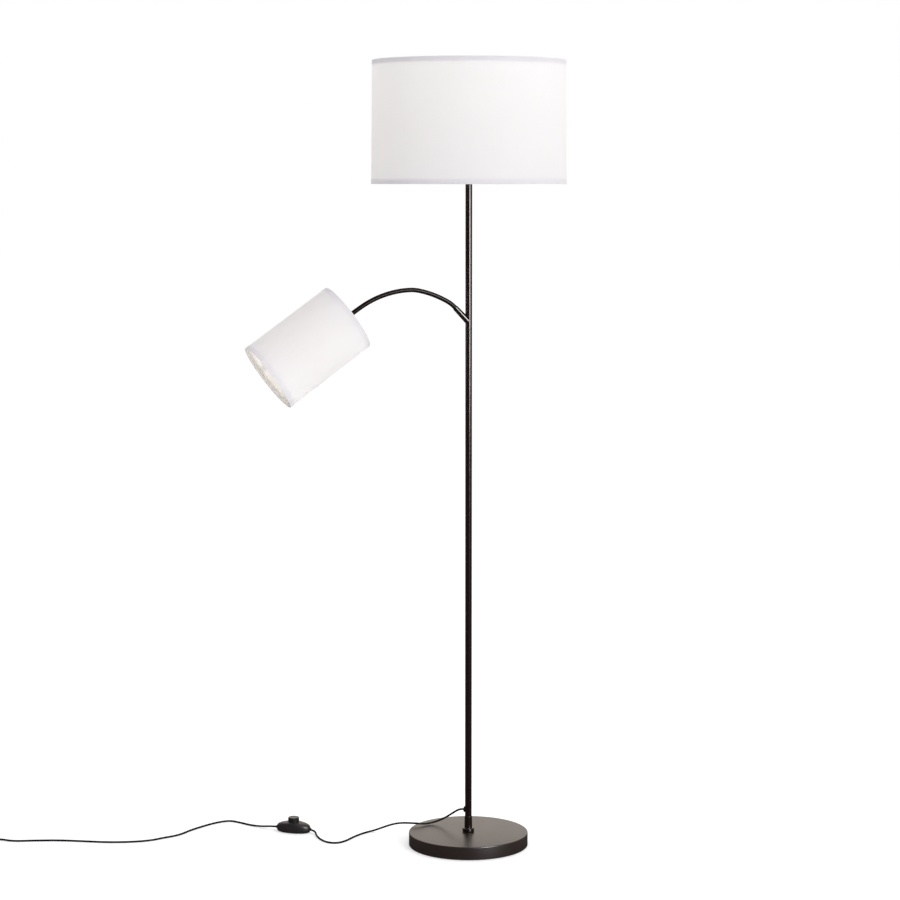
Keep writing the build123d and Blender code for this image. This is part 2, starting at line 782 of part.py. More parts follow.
def route_from_switch(coil_start, coil_heading):
    """From the foot switch along the floor to the coil of spare lead."""
    before = coil_start - coil_heading * 32
    return [
        switch_point(-cord_end_in_switch, switch_cord_height),
        switch_point(-50.0, switch_cord_height),
        (-389.0, 253.0, 3.8),
        (-408.0, 277.0, cord_low),
        (-424.0, 303.0, cord_low),
        (-441.0, 326.0, cord_low),
        (-466.0, 322.0, cord_low),
        (-492.0, 308.5, cord_low),
        (-518.0, 290.0, cord_low),
        (-541.0, 272.5, cord_low),
        (-560.0, 252.5, cord_low),
        (-580.0, 238.5, cord_low),
        (-606.0, 231.0, cord_low),
        (-637.0, 217.5, cord_low),
        (-680.5, 219.0, cord_low),
        (-729.0, 232.0, cord_low),
        (-774.0, 254.5, cord_low),
        (-822.5, 277.0, cord_low),
        (-873.0, 290.0, cord_low),
        (-917.5, 298.5, cord_low),
        (before.X, before.Y, coil_lift),
        (coil_start.X, coil_start.Y, coil_lift),
    ]


def build_cords():
    save("cord_to_switch", cord_along("cord_to_switch", route_to_switch()))

    total = coil_turns_in + 0.5 + coil_turns_out
    steps = [step / 4 for step in range(int(round(4 * total)) + 1)]
    wound = wound_tube("cord_coil", cord_radius, coil_line, steps, cord_diameter, coil_end_run)
    coil, coil_end, end_heading = wound
    save("cord_coil", coil)
    small = 1e-5
    entry = coil_line(small) - coil_line(0)
    entry = Vector(entry.X, entry.Y, 0).normalized()
    coil_start = coil_line(0) - entry * cord_diameter
    save("cord_to_coil", cord_along("cord_to_coil", route_from_switch(coil_start, entry)))

    inner = coil_radius - coil_pitch * coil_turns_in
    outer_line = coil_radius - coil_pitch * tie_turn
    inside = min(outer_line - coil_pitch * int(coil_turns_in - tie_turn), inner + coil_pitch * tie_turn)
    low_radius = inside - cord_radius - tie_slack
    high_radius = outer_line + cord_radius + tie_slack
    inner_low = coil_lift - cord_radius - 0.1
    inner_high = coil_lift + coil_pitch + cord_radius + tie_slack / 2
    across = high_radius - low_radius
    rise = inner_high - inner_low
    hollow = Box(across, tie_width, rise)
    strap = Box(across + 2 * tie_thickness, tie_width, rise + 2 * tie_thickness)
    strap = fillet(strap.edges().filter_by(Axis.Y), tie_corner + tie_thickness)
    strap -= fillet(hollow.edges().filter_by(Axis.Y), tie_corner)
    around = coil_entry_heading + 90 - 360 * tie_turn
    middle = ((low_radius + high_radius) / 2, 0, (inner_low + inner_high) / 2)
    save("cord_tie", Pos(*coil_centre, 0) * Rot(0, 0, around) * Pos(*middle) * strap)

    build_plug(coil_end, end_heading)


def build_plug(start, heading):
    """Two-pin plug at the end of the coil. Its own +Z runs along the lead, away from the coil."""
    frame = Plane(origin=start, x_dir=heading.cross(Vector(0, 0, 1)), z_dir=heading)
    relief = Cone(cord_radius + plug_relief_tip_wall, plug_relief_radius, plug_relief_length, align=upright)
    seat = plug_relief_length + plug_length
    full = RectangleRounded(plug_width, plug_thickness, plug_corner)
    narrow = RectangleRounded(plug_waist, plug_waist_thickness, plug_corner - 1)
    waist = Plane.XY.offset(plug_relief_length) * narrow
    belly = Plane.XY.offset(seat - plug_straight) * full
    face = Plane.XY.offset(seat) * full
    body = relief + loft([waist, belly], ruled=True) + loft([belly, face], ruled=True)
    pins = []
    for side in (-1, 1):
        socket = Pos(side * plug_pin_spacing / 2, 0, 0)
        body -= socket * rod(plug_pin_root_radius, seat - plug_pin_root, seat)
        pin = rod(plug_pin_radius, seat + plug_pin_neck, seat + plug_pin_length)
        pin = chamfer(pin.edges().group_by(Axis.Z)[-1], plug_pin_chamfer)
        pin += rod(plug_pin_root_radius, seat - plug_pin_root, seat + plug_pin_neck)
        pins.append(frame * socket * pin)
    save("plug_body", frame * body)
    save("plug_pins", *pins)
    for side in (-1, 1):
        pin_seat = frame * Pos(side * plug_pin_spacing / 2, 0, seat)
        print("plug pin seat", [round(value, 3) for value in pin_seat.position])
    print("plug heading", [round(value, 4) for value in heading])


# ---- the lamp ----

build_base()
build_pole()
head = build_arm()
upright_frame = Location((0, 0, 0))

nipple_low = pole_top - pole_plug_length + 2
save("main_nipple", tube(thread_radius, thread_bore_radius, nipple_low, pole_top + cap_floor + 4))
main_sizes = (main_body_radius, main_body_length, main_shade_seat, main_thread_radius,
              main_contact_radius, main_cap_length, main_bulb_radius, main_bulb_rise)
main_seat = build_light("main", upright_frame, pole_top, main_sizes)
build_shade("main", upright_frame, main_shade_bottom, main_shade_radius_low, main_shade_radius_high,
            main_shade_height, main_body_radius, main_seat, ring_wire_radius + 1.0)

ferrule_end = arm_depth_in_head + 4
ferrule = rod(arm_radius + 2.2, 2, ferrule_end)
ferrule = chamfer(ferrule.edges(), 0.6) + rod(thread_radius, ferrule_end, ferrule_end + cap_floor + 4)
ferrule -= rod(arm_radius + 0.05, 0, arm_depth_in_head + 0.05)
ferrule -= rod(arm_bore_radius, 0, ferrule_end + 20)
save("head_ferrule", head.location * ferrule)
reading_sizes = (reading_body_radius, reading_body_length, reading_shade_seat, reading_thread_radius,
                 reading_contact_radius, reading_cap_length, reading_bulb_radius, reading_bulb_rise)
reading_seat = build_light("reading", head.location, ferrule_end, reading_sizes)
build_shade("reading", head.location, 0, reading_shade_radius_top, reading_shade_radius_mouth,
            reading_shade_length, reading_body_radius, reading_seat, ring_wire_radius + 1.0)
build_switch()
build_cords()
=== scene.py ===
import json
from math import atan2, cos, pi, radians, sin, tan

import bpy
from mathutils import Matrix, Vector


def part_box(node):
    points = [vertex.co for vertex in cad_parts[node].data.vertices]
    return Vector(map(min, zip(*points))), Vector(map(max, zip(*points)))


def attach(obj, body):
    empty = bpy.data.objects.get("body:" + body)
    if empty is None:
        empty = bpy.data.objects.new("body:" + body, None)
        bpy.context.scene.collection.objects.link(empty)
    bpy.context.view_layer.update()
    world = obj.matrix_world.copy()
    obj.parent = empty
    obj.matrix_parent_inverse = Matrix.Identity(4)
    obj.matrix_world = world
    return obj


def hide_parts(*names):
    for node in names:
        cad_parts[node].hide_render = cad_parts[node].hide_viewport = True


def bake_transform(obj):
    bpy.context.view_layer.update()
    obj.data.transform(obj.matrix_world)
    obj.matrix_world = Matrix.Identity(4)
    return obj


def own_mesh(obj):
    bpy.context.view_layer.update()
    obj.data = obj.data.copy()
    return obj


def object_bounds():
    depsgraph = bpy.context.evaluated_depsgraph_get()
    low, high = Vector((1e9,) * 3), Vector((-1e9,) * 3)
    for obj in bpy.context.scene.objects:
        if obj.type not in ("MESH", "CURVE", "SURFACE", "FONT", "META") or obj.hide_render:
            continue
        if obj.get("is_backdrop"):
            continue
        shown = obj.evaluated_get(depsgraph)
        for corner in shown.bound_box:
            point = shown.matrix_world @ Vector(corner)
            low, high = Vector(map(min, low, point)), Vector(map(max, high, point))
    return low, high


# Floor lamp with a drum shade and a small reading shade on a bendable arm.
# Sizes are written in millimetres and turned to metres where a piece is made.
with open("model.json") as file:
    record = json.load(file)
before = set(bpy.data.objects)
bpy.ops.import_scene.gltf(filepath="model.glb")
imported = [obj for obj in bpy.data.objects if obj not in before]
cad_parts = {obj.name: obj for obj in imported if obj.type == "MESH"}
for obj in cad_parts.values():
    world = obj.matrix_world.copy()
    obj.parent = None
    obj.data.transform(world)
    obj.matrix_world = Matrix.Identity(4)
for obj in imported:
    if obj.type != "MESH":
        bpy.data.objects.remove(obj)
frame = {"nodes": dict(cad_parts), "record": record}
nodes = frame["nodes"]
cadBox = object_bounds()
mm = 0.001


def place(point):
    return Vector(point) * mm


# Camera, at the photograph's angle

view = {
    "lens": 97.19,
    "sensor": 36,
    "at": (-1.5027, -4.7660, 1.3919),  # metres
    "turn": (83.65, 0.0, -17.058),  # degrees
}


def setCamera():
    data = bpy.data.cameras.new("photoCamera")
    data.lens = view["lens"]
    data.sensor_width = view["sensor"]
    camera = bpy.data.objects.new("photoCamera", data)
    camera.location = view["at"]
    camera.rotation_euler = [radians(a) for a in view["turn"]]
    bpy.context.scene.collection.objects.link(camera)
    bpy.context.scene.camera = camera


# Materials


def hexColour(code):
    # sRGB hex to the linear colour that the shaders take
    parts = [int(code[i : i + 2], 16) / 255 for i in (0, 2, 4)]
    return [p / 12.92 if p <= 0.04045 else ((p + 0.055) / 1.055) ** 2.4 for p in parts] + [1.0]


def add(tree, kind, inputs=None, **settings):
    # one node with its settings, and its inputs set or linked
    node = tree.nodes.new(kind)
    for name, value in settings.items():
        setattr(node, name, value)
    for socket, value in (inputs or {}).items():
        if isinstance(value, bpy.types.NodeSocket):
            tree.links.new(value, node.inputs[socket])
        else:
            node.inputs[socket].default_value = value
    return node


def newMaterial(name):
    material = bpy.data.materials.new(name)
    material.use_nodes = True
    tree = material.node_tree
    tree.nodes.clear()
    return material, tree


def finish(tree, shader):
    add(tree, "ShaderNodeOutputMaterial", {"Surface": shader})


def ramp(tree, factor, stops):
    # each stop is a place from 0 to 1 and a colour, as hex or as linear numbers
    node = add(tree, "ShaderNodeValToRGB", {"Fac": factor})
    edges = node.color_ramp.elements
    while len(edges) < len(stops):
        edges.new(0.5)
    for edge, (spot, colour) in zip(edges, stops):
        edge.position = spot
        edge.color = hexColour(colour) if isinstance(colour, str) else colour
    return node.outputs["Color"]


def grey(tree, factor, low, high):
    # a noise from 0 to 1, turned to a range of values such as roughness
    node = add(tree, "ShaderNodeMapRange", {"Value": factor, "To Min": low, "To Max": high})
    return node.outputs["Result"]


def speckle(tree, size, detail=3.0, stretch=(1, 1, 1)):
    # noise whose blotches are about size millimetres, stretched along an axis where asked
    coords = add(tree, "ShaderNodeTexCoord")
    vector = add(tree, "ShaderNodeMapping", {"Vector": coords.outputs["Object"], "Scale": stretch})
    noise = add(tree, "ShaderNodeTexNoise", {
        "Vector": vector.outputs["Vector"],
        "Scale": 1 / (size * mm),
        "Detail": detail,
    })
    return noise.outputs["Fac"]


def roughen(tree, height, depth, strength=1.0):
    # bumps the shading by a height from 0 to 1 that stands for depth millimetres
    node = add(tree, "ShaderNodeBump", {"Height": height, "Strength": strength, "Distance": depth * mm})
    return node.outputs["Normal"]


def letThrough(tree, front, behind, glow):
    # lets a share of the light through from the far side
    mix = add(tree, "ShaderNodeMixShader", {0: glow, 1: front.outputs["BSDF"], 2: behind.outputs["BSDF"]})
    finish(tree, mix.outputs["Shader"])


def coatedMetal(name, stops, grain, grainDepth, roughness, level):
    # paint on steel: broad soft mottling in colour, a fine orange peel in the surface
    material, tree = newMaterial(name)
    mottle = speckle(tree, size=60)
    peel = roughen(tree, speckle(tree, grain, detail=2.0), grainDepth)
    shader = add(tree, "ShaderNodeBsdfPrincipled", {
        "Base Color": ramp(tree, mottle, stops),
        "Roughness": grey(tree, speckle(tree, size=40, detail=1.0), *roughness),
        "Specular IOR Level": level,
        "Normal": peel,
    })
    finish(tree, shader.outputs["BSDF"])
    return material


def mouldedPlastic(name, stops, grain, grainDepth, roughness, level=0.5):
    # moulded plastic or rubber: even colour, a spark-eroded grain that dulls the gloss
    material, tree = newMaterial(name)
    fine = speckle(tree, grain, detail=4.0)
    shader = add(tree, "ShaderNodeBsdfPrincipled", {
        "Base Color": ramp(tree, speckle(tree, size=14), stops),
        "Roughness": grey(tree, fine, *roughness),
        "Specular IOR Level": level,
        "Normal": roughen(tree, fine, grainDepth),
    })
    finish(tree, shader.outputs["BSDF"])
    return material


def bareMetal(name, stops, stretch, roughness):
    # plain metal with drawing or rolling marks along one axis
    material, tree = newMaterial(name)
    marks = speckle(tree, size=1.2, detail=5.0, stretch=stretch)
    shader = add(tree, "ShaderNodeBsdfPrincipled", {
        "Base Color": ramp(tree, speckle(tree, size=9), stops),
        "Metallic": 1.0,
        "Roughness": grey(tree, marks, *roughness),
        "Normal": roughen(tree, marks, depth=0.02, strength=0.5),
    })
    finish(tree, shader.outputs["BSDF"])
    return material


weave = {
    "waveRepeat": 0.31416,  # metres after which a Wave texture of scale 1 repeats
    "slub": (900, 25),  # unevenness per metre across a thread and along it
    "depth": 0.12,
}


def threads(tree, uv, direction, thread):
    # one set of parallel threads, uneven in thickness
    across, along = weave["slub"]
    scale = (across, along, 1) if direction == "X" else (along, across, 1)
    slub = add(tree, "ShaderNodeMapping", {"Vector": uv, "Scale": scale})
    uneven = add(tree, "ShaderNodeTexNoise", {
        "Vector": slub.outputs["Vector"],
        "Scale": 1.0,
        "Detail": 2.0,
    })
    scale = weave["waveRepeat"] / (thread * mm)
    wave = add(tree, "ShaderNodeTexWave", {"Vector": uv, "Scale": scale}, bands_direction=direction)
    both = {0: wave.outputs["Fac"], 1: uneven.outputs["Fac"]}
    return add(tree, "ShaderNodeMath", both, operation="MULTIPLY").outputs["Value"]


def wovenShade(name, stops, thread, glow):
    # cotton and polyester plain weave glued to a stiff white film. The real threads are about
    # 0.3 mm apart, and are drawn coarser here so that they show
    material, tree = newMaterial(name)
    uv = add(tree, "ShaderNodeTexCoord").outputs["UV"]
    bands = {i: threads(tree, uv, direction, thread) for i, direction in enumerate("XY")}
    cloth = add(tree, "ShaderNodeMath", bands, operation="ADD").outputs["Value"]
    bumps = roughen(tree, cloth, weave["depth"], strength=0.6)
    colour = ramp(tree, cloth, stops)
    front = add(tree, "ShaderNodeBsdfPrincipled", {
        "Base Color": colour,
        "Roughness": 0.92,
        "Specular IOR Level": 0.2,
        "Sheen Weight": 0.15,
        "Sheen Roughness": 0.6,
        "Normal": bumps,
    })
    behind = add(tree, "ShaderNodeBsdfTranslucent", {"Color": colour, "Normal": bumps})
    letThrough(tree, front, behind, glow)
    return material


def whiteFilm(name, stops, glow):
    # stiff styrene lining: smooth, faintly warm, lets some light through
    material, tree = newMaterial(name)
    colour = ramp(tree, speckle(tree, size=35), stops)
    front = add(tree, "ShaderNodeBsdfPrincipled", {
        "Base Color": colour,
        "Roughness": 0.55,
        "Specular IOR Level": 0.3,
    })
    letThrough(tree, front, add(tree, "ShaderNodeBsdfTranslucent", {"Color": colour}), glow)
    return material


def opalGlass(name, stops):
    # flashed opal glass: milky white all through, with a clear gloss over it
    material, tree = newMaterial(name)
    shader = add(tree, "ShaderNodeBsdfPrincipled", {
        "Base Color": ramp(tree, speckle(tree, size=30), stops),
        "Roughness": grey(tree, speckle(tree, size=8), low=0.12, high=0.2),
        "IOR": 1.5,
        "Coat Weight": 0.4,
        "Coat Roughness": 0.05,
    })
    finish(tree, shader.outputs["BSDF"])
    return material


def castConcrete(name, stops):
    # cast cement weight: grey, sandy and dull, with small air holes
    material, tree = newMaterial(name)
    sand = speckle(tree, size=1.5, detail=6.0)
    shader = add(tree, "ShaderNodeBsdfPrincipled", {
        "Base Color": ramp(tree, sand, stops),
        "Roughness": 0.93,
        "Normal": roughen(tree, sand, depth=0.4),
    })
    finish(tree, shader.outputs["BSDF"])
    return material


def shadesOf(dark, light, spread=(0.3, 0.7)):
    return list(zip(spread, (dark, light)))


finishes = {
    # after its colours, a paint or plastic has its grain's size and depth in millimetres, its range
    # of roughness and its gloss, a metal has a scale for its marks, long where it is small, and a
    # cloth has its thread in millimetres and the share of light let through
    # semi-matt brown-black stoving enamel: reads grey-brown where it mirrors a pale room at a flat angle
    "base_enamel": coatedMetal(
        "stovedEnamel", shadesOf("2c1f1a", "30231d"), 3.0, 0.004, (0.32, 0.36), 1.0),
    # glossier near-black enamel: a thin bright line down the tube
    "pole_enamel": coatedMetal(
        "satinEnamel", shadesOf("1c0f0c", "20120e"), 4.0, 0.001, (0.18, 0.21), 0.6),
    # smooth soft PVC sleeve: dull black with a faint sheen
    "arm_sleeve": mouldedPlastic(
        "pvcSleeve", shadesOf("150a08", "190d0a"), 3.0, 0.001, (0.25, 0.28), 0.12),
    # moulded nylon: dull black
    "black_plastic": mouldedPlastic(
        "mouldedNylon", shadesOf("111111", "161616"), 1.0, 0.008, (0.4, 0.48)),
    # satin black ABS: fine moulded grain
    "switch_plastic": mouldedPlastic(
        "mouldedAbs", shadesOf("252123", "2a2628"), 1.0, 0.006, (0.38, 0.44), 0.6),
    # glossier ABS of the button: a brighter rim
    "button_plastic": mouldedPlastic(
        "glossAbs", shadesOf("1a1718", "1f1b1c"), 1.0, 0.004, (0.3, 0.36), 0.7),
    # white urea moulding of a lamp holder: slightly waxy
    "holder_plastic": mouldedPlastic(
        "whiteUrea", shadesOf("e6e4dd", "ece9e2"), 0.8, 0.006, (0.3, 0.4)),
    # white enamelled wire: a soft gloss
    "white_wire": coatedMetal(
        "whiteEnamel", shadesOf("e4e2dc", "eae8e2"), 0.8, 0.01, (0.35, 0.42), 0.5),
    # zinc-plated steel: grey with a blue cast, drawn marks
    "zinc_steel": bareMetal(
        "zincPlate", shadesOf("a9adb3", "bcbfc3"), (1, 1, 0.15), (0.28, 0.42)),
    # turned brass: yellow, with fine marks along it
    "brass": bareMetal(
        "plainBrass", shadesOf("c4a054", "d2b06a"), (1, 1, 0.2), (0.2, 0.34)),
    # rolled aluminium of a lamp's cap: pale, with marks round it
    "lamp_cap": bareMetal(
        "rolledAluminium", shadesOf("c3c4c6", "d0d1d2"), (0.2, 0.2, 1), (0.25, 0.38)),
    # drawn spring wire: a darker grey
    "spring_steel": bareMetal(
        "springWire", shadesOf("8d8f92", "a2a4a6"), (1, 1, 1), (0.25, 0.36)),
    "opal_glass": opalGlass("opalGlass", shadesOf("f1f0ea", "f6f5f0")),
    "concrete": castConcrete("castCement", shadesOf("6f6c67", "93908a")),
    # closed-cell foam sheet under the base: dull, with open pores
    "foam_pad": mouldedPlastic(
        "foamSheet", shadesOf("1d1d1d", "272727"), 1.2, 0.25, (0.85, 0.95), 0.2),
    # flexible PVC sheath: nearly black with a cool cast and a soft shine
    "cord_pvc": mouldedPlastic(
        "pvcSheath", shadesOf("0a0c0e", "0e1012"), 2.0, 0.004, (0.42, 0.48), 0.15),
    # white PVC sheath of the inner leads
    "white_lead": mouldedPlastic(
        "whiteSheath", shadesOf("d9d8d2", "e2e0da"), 0.6, 0.01, (0.4, 0.5)),
    # woven cover of both shades: white, with a faint thread
    "shade_fabric": wovenShade("shadeWeave", shadesOf("f4f4f8", "f9f9fd", (0.1, 0.9)), 0.9, 0.5),
    # its hems, of more layers, let less light through
    "shade_trim": wovenShade("hemWeave", shadesOf("f3f2f4", "f8f7f9", (0.1, 0.9)), 0.9, 0.45),
}
liningFilm = whiteFilm("styreneFilm", shadesOf("fbf8f0", "fefbf4"), 0.78)
print("materials:", len(finishes) + 1)


# Tools for making pieces

roundSteps = 4
smoothAngle = radians(38)
mergeWithin = 1e-6


def clearSelection():
    bpy.ops.object.select_all(action="DESELECT")


def pick(piece):
    clearSelection()
    piece.select_set(True)
    bpy.context.view_layer.objects.active = piece


def openEdit(piece, mode="VERT"):
    pick(piece)
    bpy.ops.object.mode_set(mode="EDIT")
    bpy.ops.mesh.select_mode(type=mode)
    bpy.ops.mesh.select_all(action="SELECT")


def closeEdit():
    bpy.ops.mesh.select_all(action="SELECT")
    bpy.ops.mesh.remove_doubles(threshold=mergeWithin)
    bpy.ops.mesh.normals_make_consistent(inside=False)
    bpy.ops.object.mode_set(mode="OBJECT")


def pull(x, y, z):
    # extrudes what is selected by millimetres
    bpy.ops.mesh.extrude_region_move(TRANSFORM_OT_translate={"value": Vector((x, y, z)) * mm})


def widen(x, y, height=0):
    # scales what is selected about the Z axis
    bpy.ops.transform.resize(value=(x, y, 1), center_override=(0, 0, height * mm))


def addWall(piece, thick, side):
    # side is -1 for a wall that grows inwards, 0 for one about the surface, 1 for outwards
    wall = piece.modifiers.new("wall", "SOLIDIFY")
    wall.thickness = thick * mm
    wall.offset = side
    bpy.ops.object.modifier_apply(modifier="wall")


def settle(piece, where=None):
    # moves a piece made about the origin to its place, and leaves its object at the origin
    if where is not None:
        piece.matrix_world = where @ piece.matrix_world
    pick(piece)
    bpy.ops.object.transform_apply(location=True, rotation=True, scale=True)
    bpy.ops.object.shade_smooth_by_angle(angle=smoothAngle)
    return piece


def roundedProfile(corners):
    # corners are (radius, height, rounding); a rounded one becomes a short arc of rings
    rings = []
    for i, (radius, height, rounding) in enumerate(corners):
        if not rounding:
            rings.append((radius, height))
            continue
        here = Vector((radius, height))
        back = (Vector(corners[i - 1][:2]) - here).normalized()
        on = (Vector(corners[i + 1][:2]) - here).normalized()
        half = back.angle(on) / 2
        centre = here + (back + on).normalized() * (rounding / sin(half))
        first, last = here + back * (rounding / tan(half)), here + on * (rounding / tan(half))
        for step in range(roundSteps + 1):
            spot = centre + (first.lerp(last, step / roundSteps) - centre).normalized() * rounding
            rings.append((spot.x, spot.y))
    return rings


def turned(name, corners, sides=64, hollow=False):
    # a disc or ring pulled up along Z through the rings of its profile
    rings = roundedProfile(corners)
    clearSelection()
    radius, height = rings[0]
    fill = "NOTHING" if hollow else "NGON"
    bpy.ops.mesh.primitive_circle_add(
        vertices=sides, radius=radius * mm, fill_type=fill, location=(0, 0, height * mm))
    piece = bpy.context.object
    piece.name = name
    openEdit(piece)
    for (wasRadius, wasHeight), (radius, height) in zip(rings, rings[1:]):
        pull(0, 0, height - wasHeight)
        widen(radius / wasRadius, radius / wasRadius, height)
    closeEdit()
    return piece


def dress(piece, body, slot, replaced=(), material=None):
    # gives a finished piece the material of its slot and its body, and hides the nodes it stands for
    piece.data.materials.clear()
    piece.data.materials.append(material or finishes[slot])
    if body:
        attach(piece, body)
    if replaced:
        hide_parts(*replaced)
    return piece


def frameAt(origin, along, aside):
    # a place whose Z runs along a direction and whose X lies aside
    z = Vector(along).normalized()
    x = Vector(aside).normalized()
    y = z.cross(x)
    return Matrix.Translation(place(origin)) @ Matrix((x, y, z)).transposed().to_4x4()


def roundWire(name, points, radius, kind="NURBS", facets=4):
    # a curve through or along the points with a round section
    data = bpy.data.curves.new(name, "CURVE")
    data.dimensions = "3D"
    data.bevel_depth = radius * mm
    data.bevel_resolution = facets
    data.use_fill_caps = True
    line = data.splines.new(kind)
    line.points.add(len(points) - 1)
    for spot, point in zip(line.points, points):
        spot.co = (*place(point), 1)
    if kind == "NURBS":
        line.order_u = 3
        line.use_endpoint_u = True
    wire = bpy.data.objects.new(name, data)
    bpy.context.scene.collection.objects.link(wire)
    return wire


def asMesh(wire):
    pick(wire)
    bpy.ops.object.convert(target="MESH")
    return bpy.context.object


# The camera and the leads come first

setCamera()

lead = {
    "thick": 4.0,
    "lengths": (508.0, 1474.0),
    "smooth": 6,
    # from the bush in the pole over the base to the foot switch, by the points of the route
    "toSwitch": [
        (-3.447, 2.893, 75.0), (-13.0, 10.9, 74.8), (-20.0, 22.5, 68.0), (-25.5, 40.0, 57.0),
        (-32.0, 57.5, 46.0), (-41.0, 71.0, 37.0), (-54.5, 77.0, 31.6), (-72.0, 73.5, 30.5),
        (-92.0, 70.5, 34.0), (-108.5, 79.5, 34.0), (-121.5, 97.5, 30.5), (-133.5, 118.5, 23.0),
        (-147.0, 139.0, 12.5), (-165.0, 151.0, 3.5), (-187.0, 144.5, 2.1), (-205.0, 131.0, 2.1),
        (-223.0, 114.5, 2.1), (-241.0, 94.5, 2.1), (-262.0, 82.0, 2.1), (-280.5, 91.0, 2.1),
        (-288.5, 111.0, 2.1), (-291.5, 134.5, 2.1), (-291.5, 155.5, 3.4), (-288.6, 177.8, 6.8),
        (-305.425, 189.441, 8.0),
    ],
    # from the foot switch along the floor and out of the photo
    "fromSwitch": [
        (-351.576, 221.159, 8.0), (-369.706, 233.62, 8.0), (-389.0, 253.0, 3.8), (-408.0, 277.0, 2.1),
        (-424.0, 303.0, 2.1), (-441.0, 326.0, 2.1), (-466.0, 322.0, 2.1), (-492.0, 308.5, 2.1),
        (-518.0, 290.0, 2.1), (-541.0, 272.5, 2.1), (-560.0, 252.5, 2.1), (-580.0, 238.5, 2.1),
        (-606.0, 231.0, 2.1), (-637.0, 217.5, 2.1), (-680.5, 219.0, 2.1), (-729.0, 232.0, 2.1),
        (-774.0, 254.5, 2.1), (-822.5, 277.0, 2.1), (-873.0, 290.0, 2.1), (-917.5, 298.5, 2.1),
        (-940.63, 321.55, 3.0),
    ],
}
coil = {
    "centre": (-979.0, 339.9),
    "entry": 197.5,  # the lead's heading as it comes in, in degrees
    "radius": 29.0,
    "pitch": 4.6,
    "low": 3.0,
    "turnsIn": 2.5,
    "turnsUp": 0.5,
    "turnsOut": 2.25,
    "pointsPerTurn": 14,
    "endRun": 14.0,
}


def coilPoint(turn):
    # winds in on the floor, climbs one layer, winds out on top
    inner = coil["radius"] - coil["pitch"] * coil["turnsIn"]
    climb = min(max((turn - coil["turnsIn"]) / coil["turnsUp"], 0), 1)
    if turn <= coil["turnsIn"]:
        radius = coil["radius"] - coil["pitch"] * turn
    elif climb < 1:
        radius = inner - coil["pitch"] / 2 * (climb - climb**2)
    else:
        radius = inner + coil["pitch"] * (turn - coil["turnsIn"] - coil["turnsUp"])
    height = coil["low"] + coil["pitch"] * (3 * climb**2 - 2 * climb**3)
    around = radians(coil["entry"] + 90) - 2 * pi * turn
    x, y = coil["centre"]
    return Vector((x + radius * cos(around), y + radius * sin(around), height))


def coilPoints():
    turns = coil["turnsIn"] + coil["turnsUp"] + coil["turnsOut"]
    count = round(turns * coil["pointsPerTurn"])
    points = [coilPoint(turns * i / count) for i in range(count + 1)]
    heading = coilPoint(turns + 1e-4) - coilPoint(turns)
    heading = Vector((heading.x, heading.y, 0)).normalized()
    return points, points[-1] + heading * coil["endRun"], heading


def layCord(name, points, nodesReplaced):
    cord = roundWire(name, points, lead["thick"] / 2)
    cord.data.resolution_u = lead["smooth"]
    cord.data.materials.append(finishes["cord_pvc"])
    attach(cord, "stand")
    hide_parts(*nodesReplaced)
    return cord


turnPoints, plugStart, plugHeading = coilPoints()
leadToSwitch = layCord("leadToSwitch", lead["toSwitch"], ["cord_to_switch"])
toPlug = lead["fromSwitch"] + turnPoints + [plugStart]
leadToPlug = layCord("leadToPlug", toPlug, ["cord_to_coil", "cord_coil"])
print("leads laid, plug at", [round(v, 2) for v in plugStart], "heading", [round(v, 4) for v in plugHeading])


# Base and collar

base = {
    "radius": 125.0, "low": 1.0, "top": 28.0, "edge": 2.0,
    "skin": 1.2, "hole": 5.3, "hem": 0.4, "inside": 0.6,
}


def makeBase():
    r, low, top, skin, hem = (base[key] for key in ("radius", "low", "top", "skin", "hem"))
    cover = turned("baseCover", [
        (r, low + hem, 0), (r, top, base["edge"]), (base["hole"], top, 0), (base["hole"], top - skin, 0),
        (r - skin, top - skin, base["inside"]), (r - skin, low, 0), (r - hem, low, 0), (r, low + hem, 0),
    ], sides=192, hollow=True)
    dress(settle(cover), "stand", "base_enamel", ["base_cover"])


collar = {
    "flange": 12.5, "flangeTop": 36.0, "flangeRounds": (2.2, 2.6), "sleeve": 8.0, "sleeveFlare": 0.2,
    "sleeveRounds": (1.2, 0.6), "bore": 7.1, "stem": 5.3, "low": 28.0, "foot": 40.0, "top": 61.0,
}


def makeCollar():
    c = collar
    low, flangeTop, top, foot = c["low"], c["flangeTop"], c["top"], c["foot"]
    (flangeFoot, flangeEdge), (sleeveRoot, sleeveTip) = c["flangeRounds"], c["sleeveRounds"]
    piece = turned("poleCollar", [
        (c["stem"], low, 0), (c["flange"], low, flangeFoot), (c["flange"], flangeTop, flangeEdge),
        (c["sleeve"] + c["sleeveFlare"], flangeTop, sleeveRoot), (c["sleeve"], top, sleeveTip),
        (c["bore"], top, 0), (c["bore"], foot, 0), (c["stem"], foot, 0), (c["stem"], low, 0),
    ], sides=64, hollow=True)
    dress(settle(piece), "stand", "pole_enamel", ["base_collar"])


# Pole

pole = {"radius": 7.0, "wall": 1.5, "ends": (40.0, 516.0, 991.0, 1418.0), "lip": 0.3}


def makePole():
    r, inner, lip = pole["radius"], pole["radius"] - pole["wall"], pole["lip"]
    for name, low, high in zip(("lower", "middle", "upper"), pole["ends"], pole["ends"][1:]):
        tube = turned("poleTube_" + name, [
            (inner, low, 0), (r - lip, low, 0), (r, low + lip, 0), (r, high - lip, 0),
            (r - lip, high, 0), (inner, high, 0), (inner, low, 0),
        ], sides=48, hollow=True)
        dress(settle(tube), "stand", "pole_enamel", ["pole_" + name])


# Bendable arm

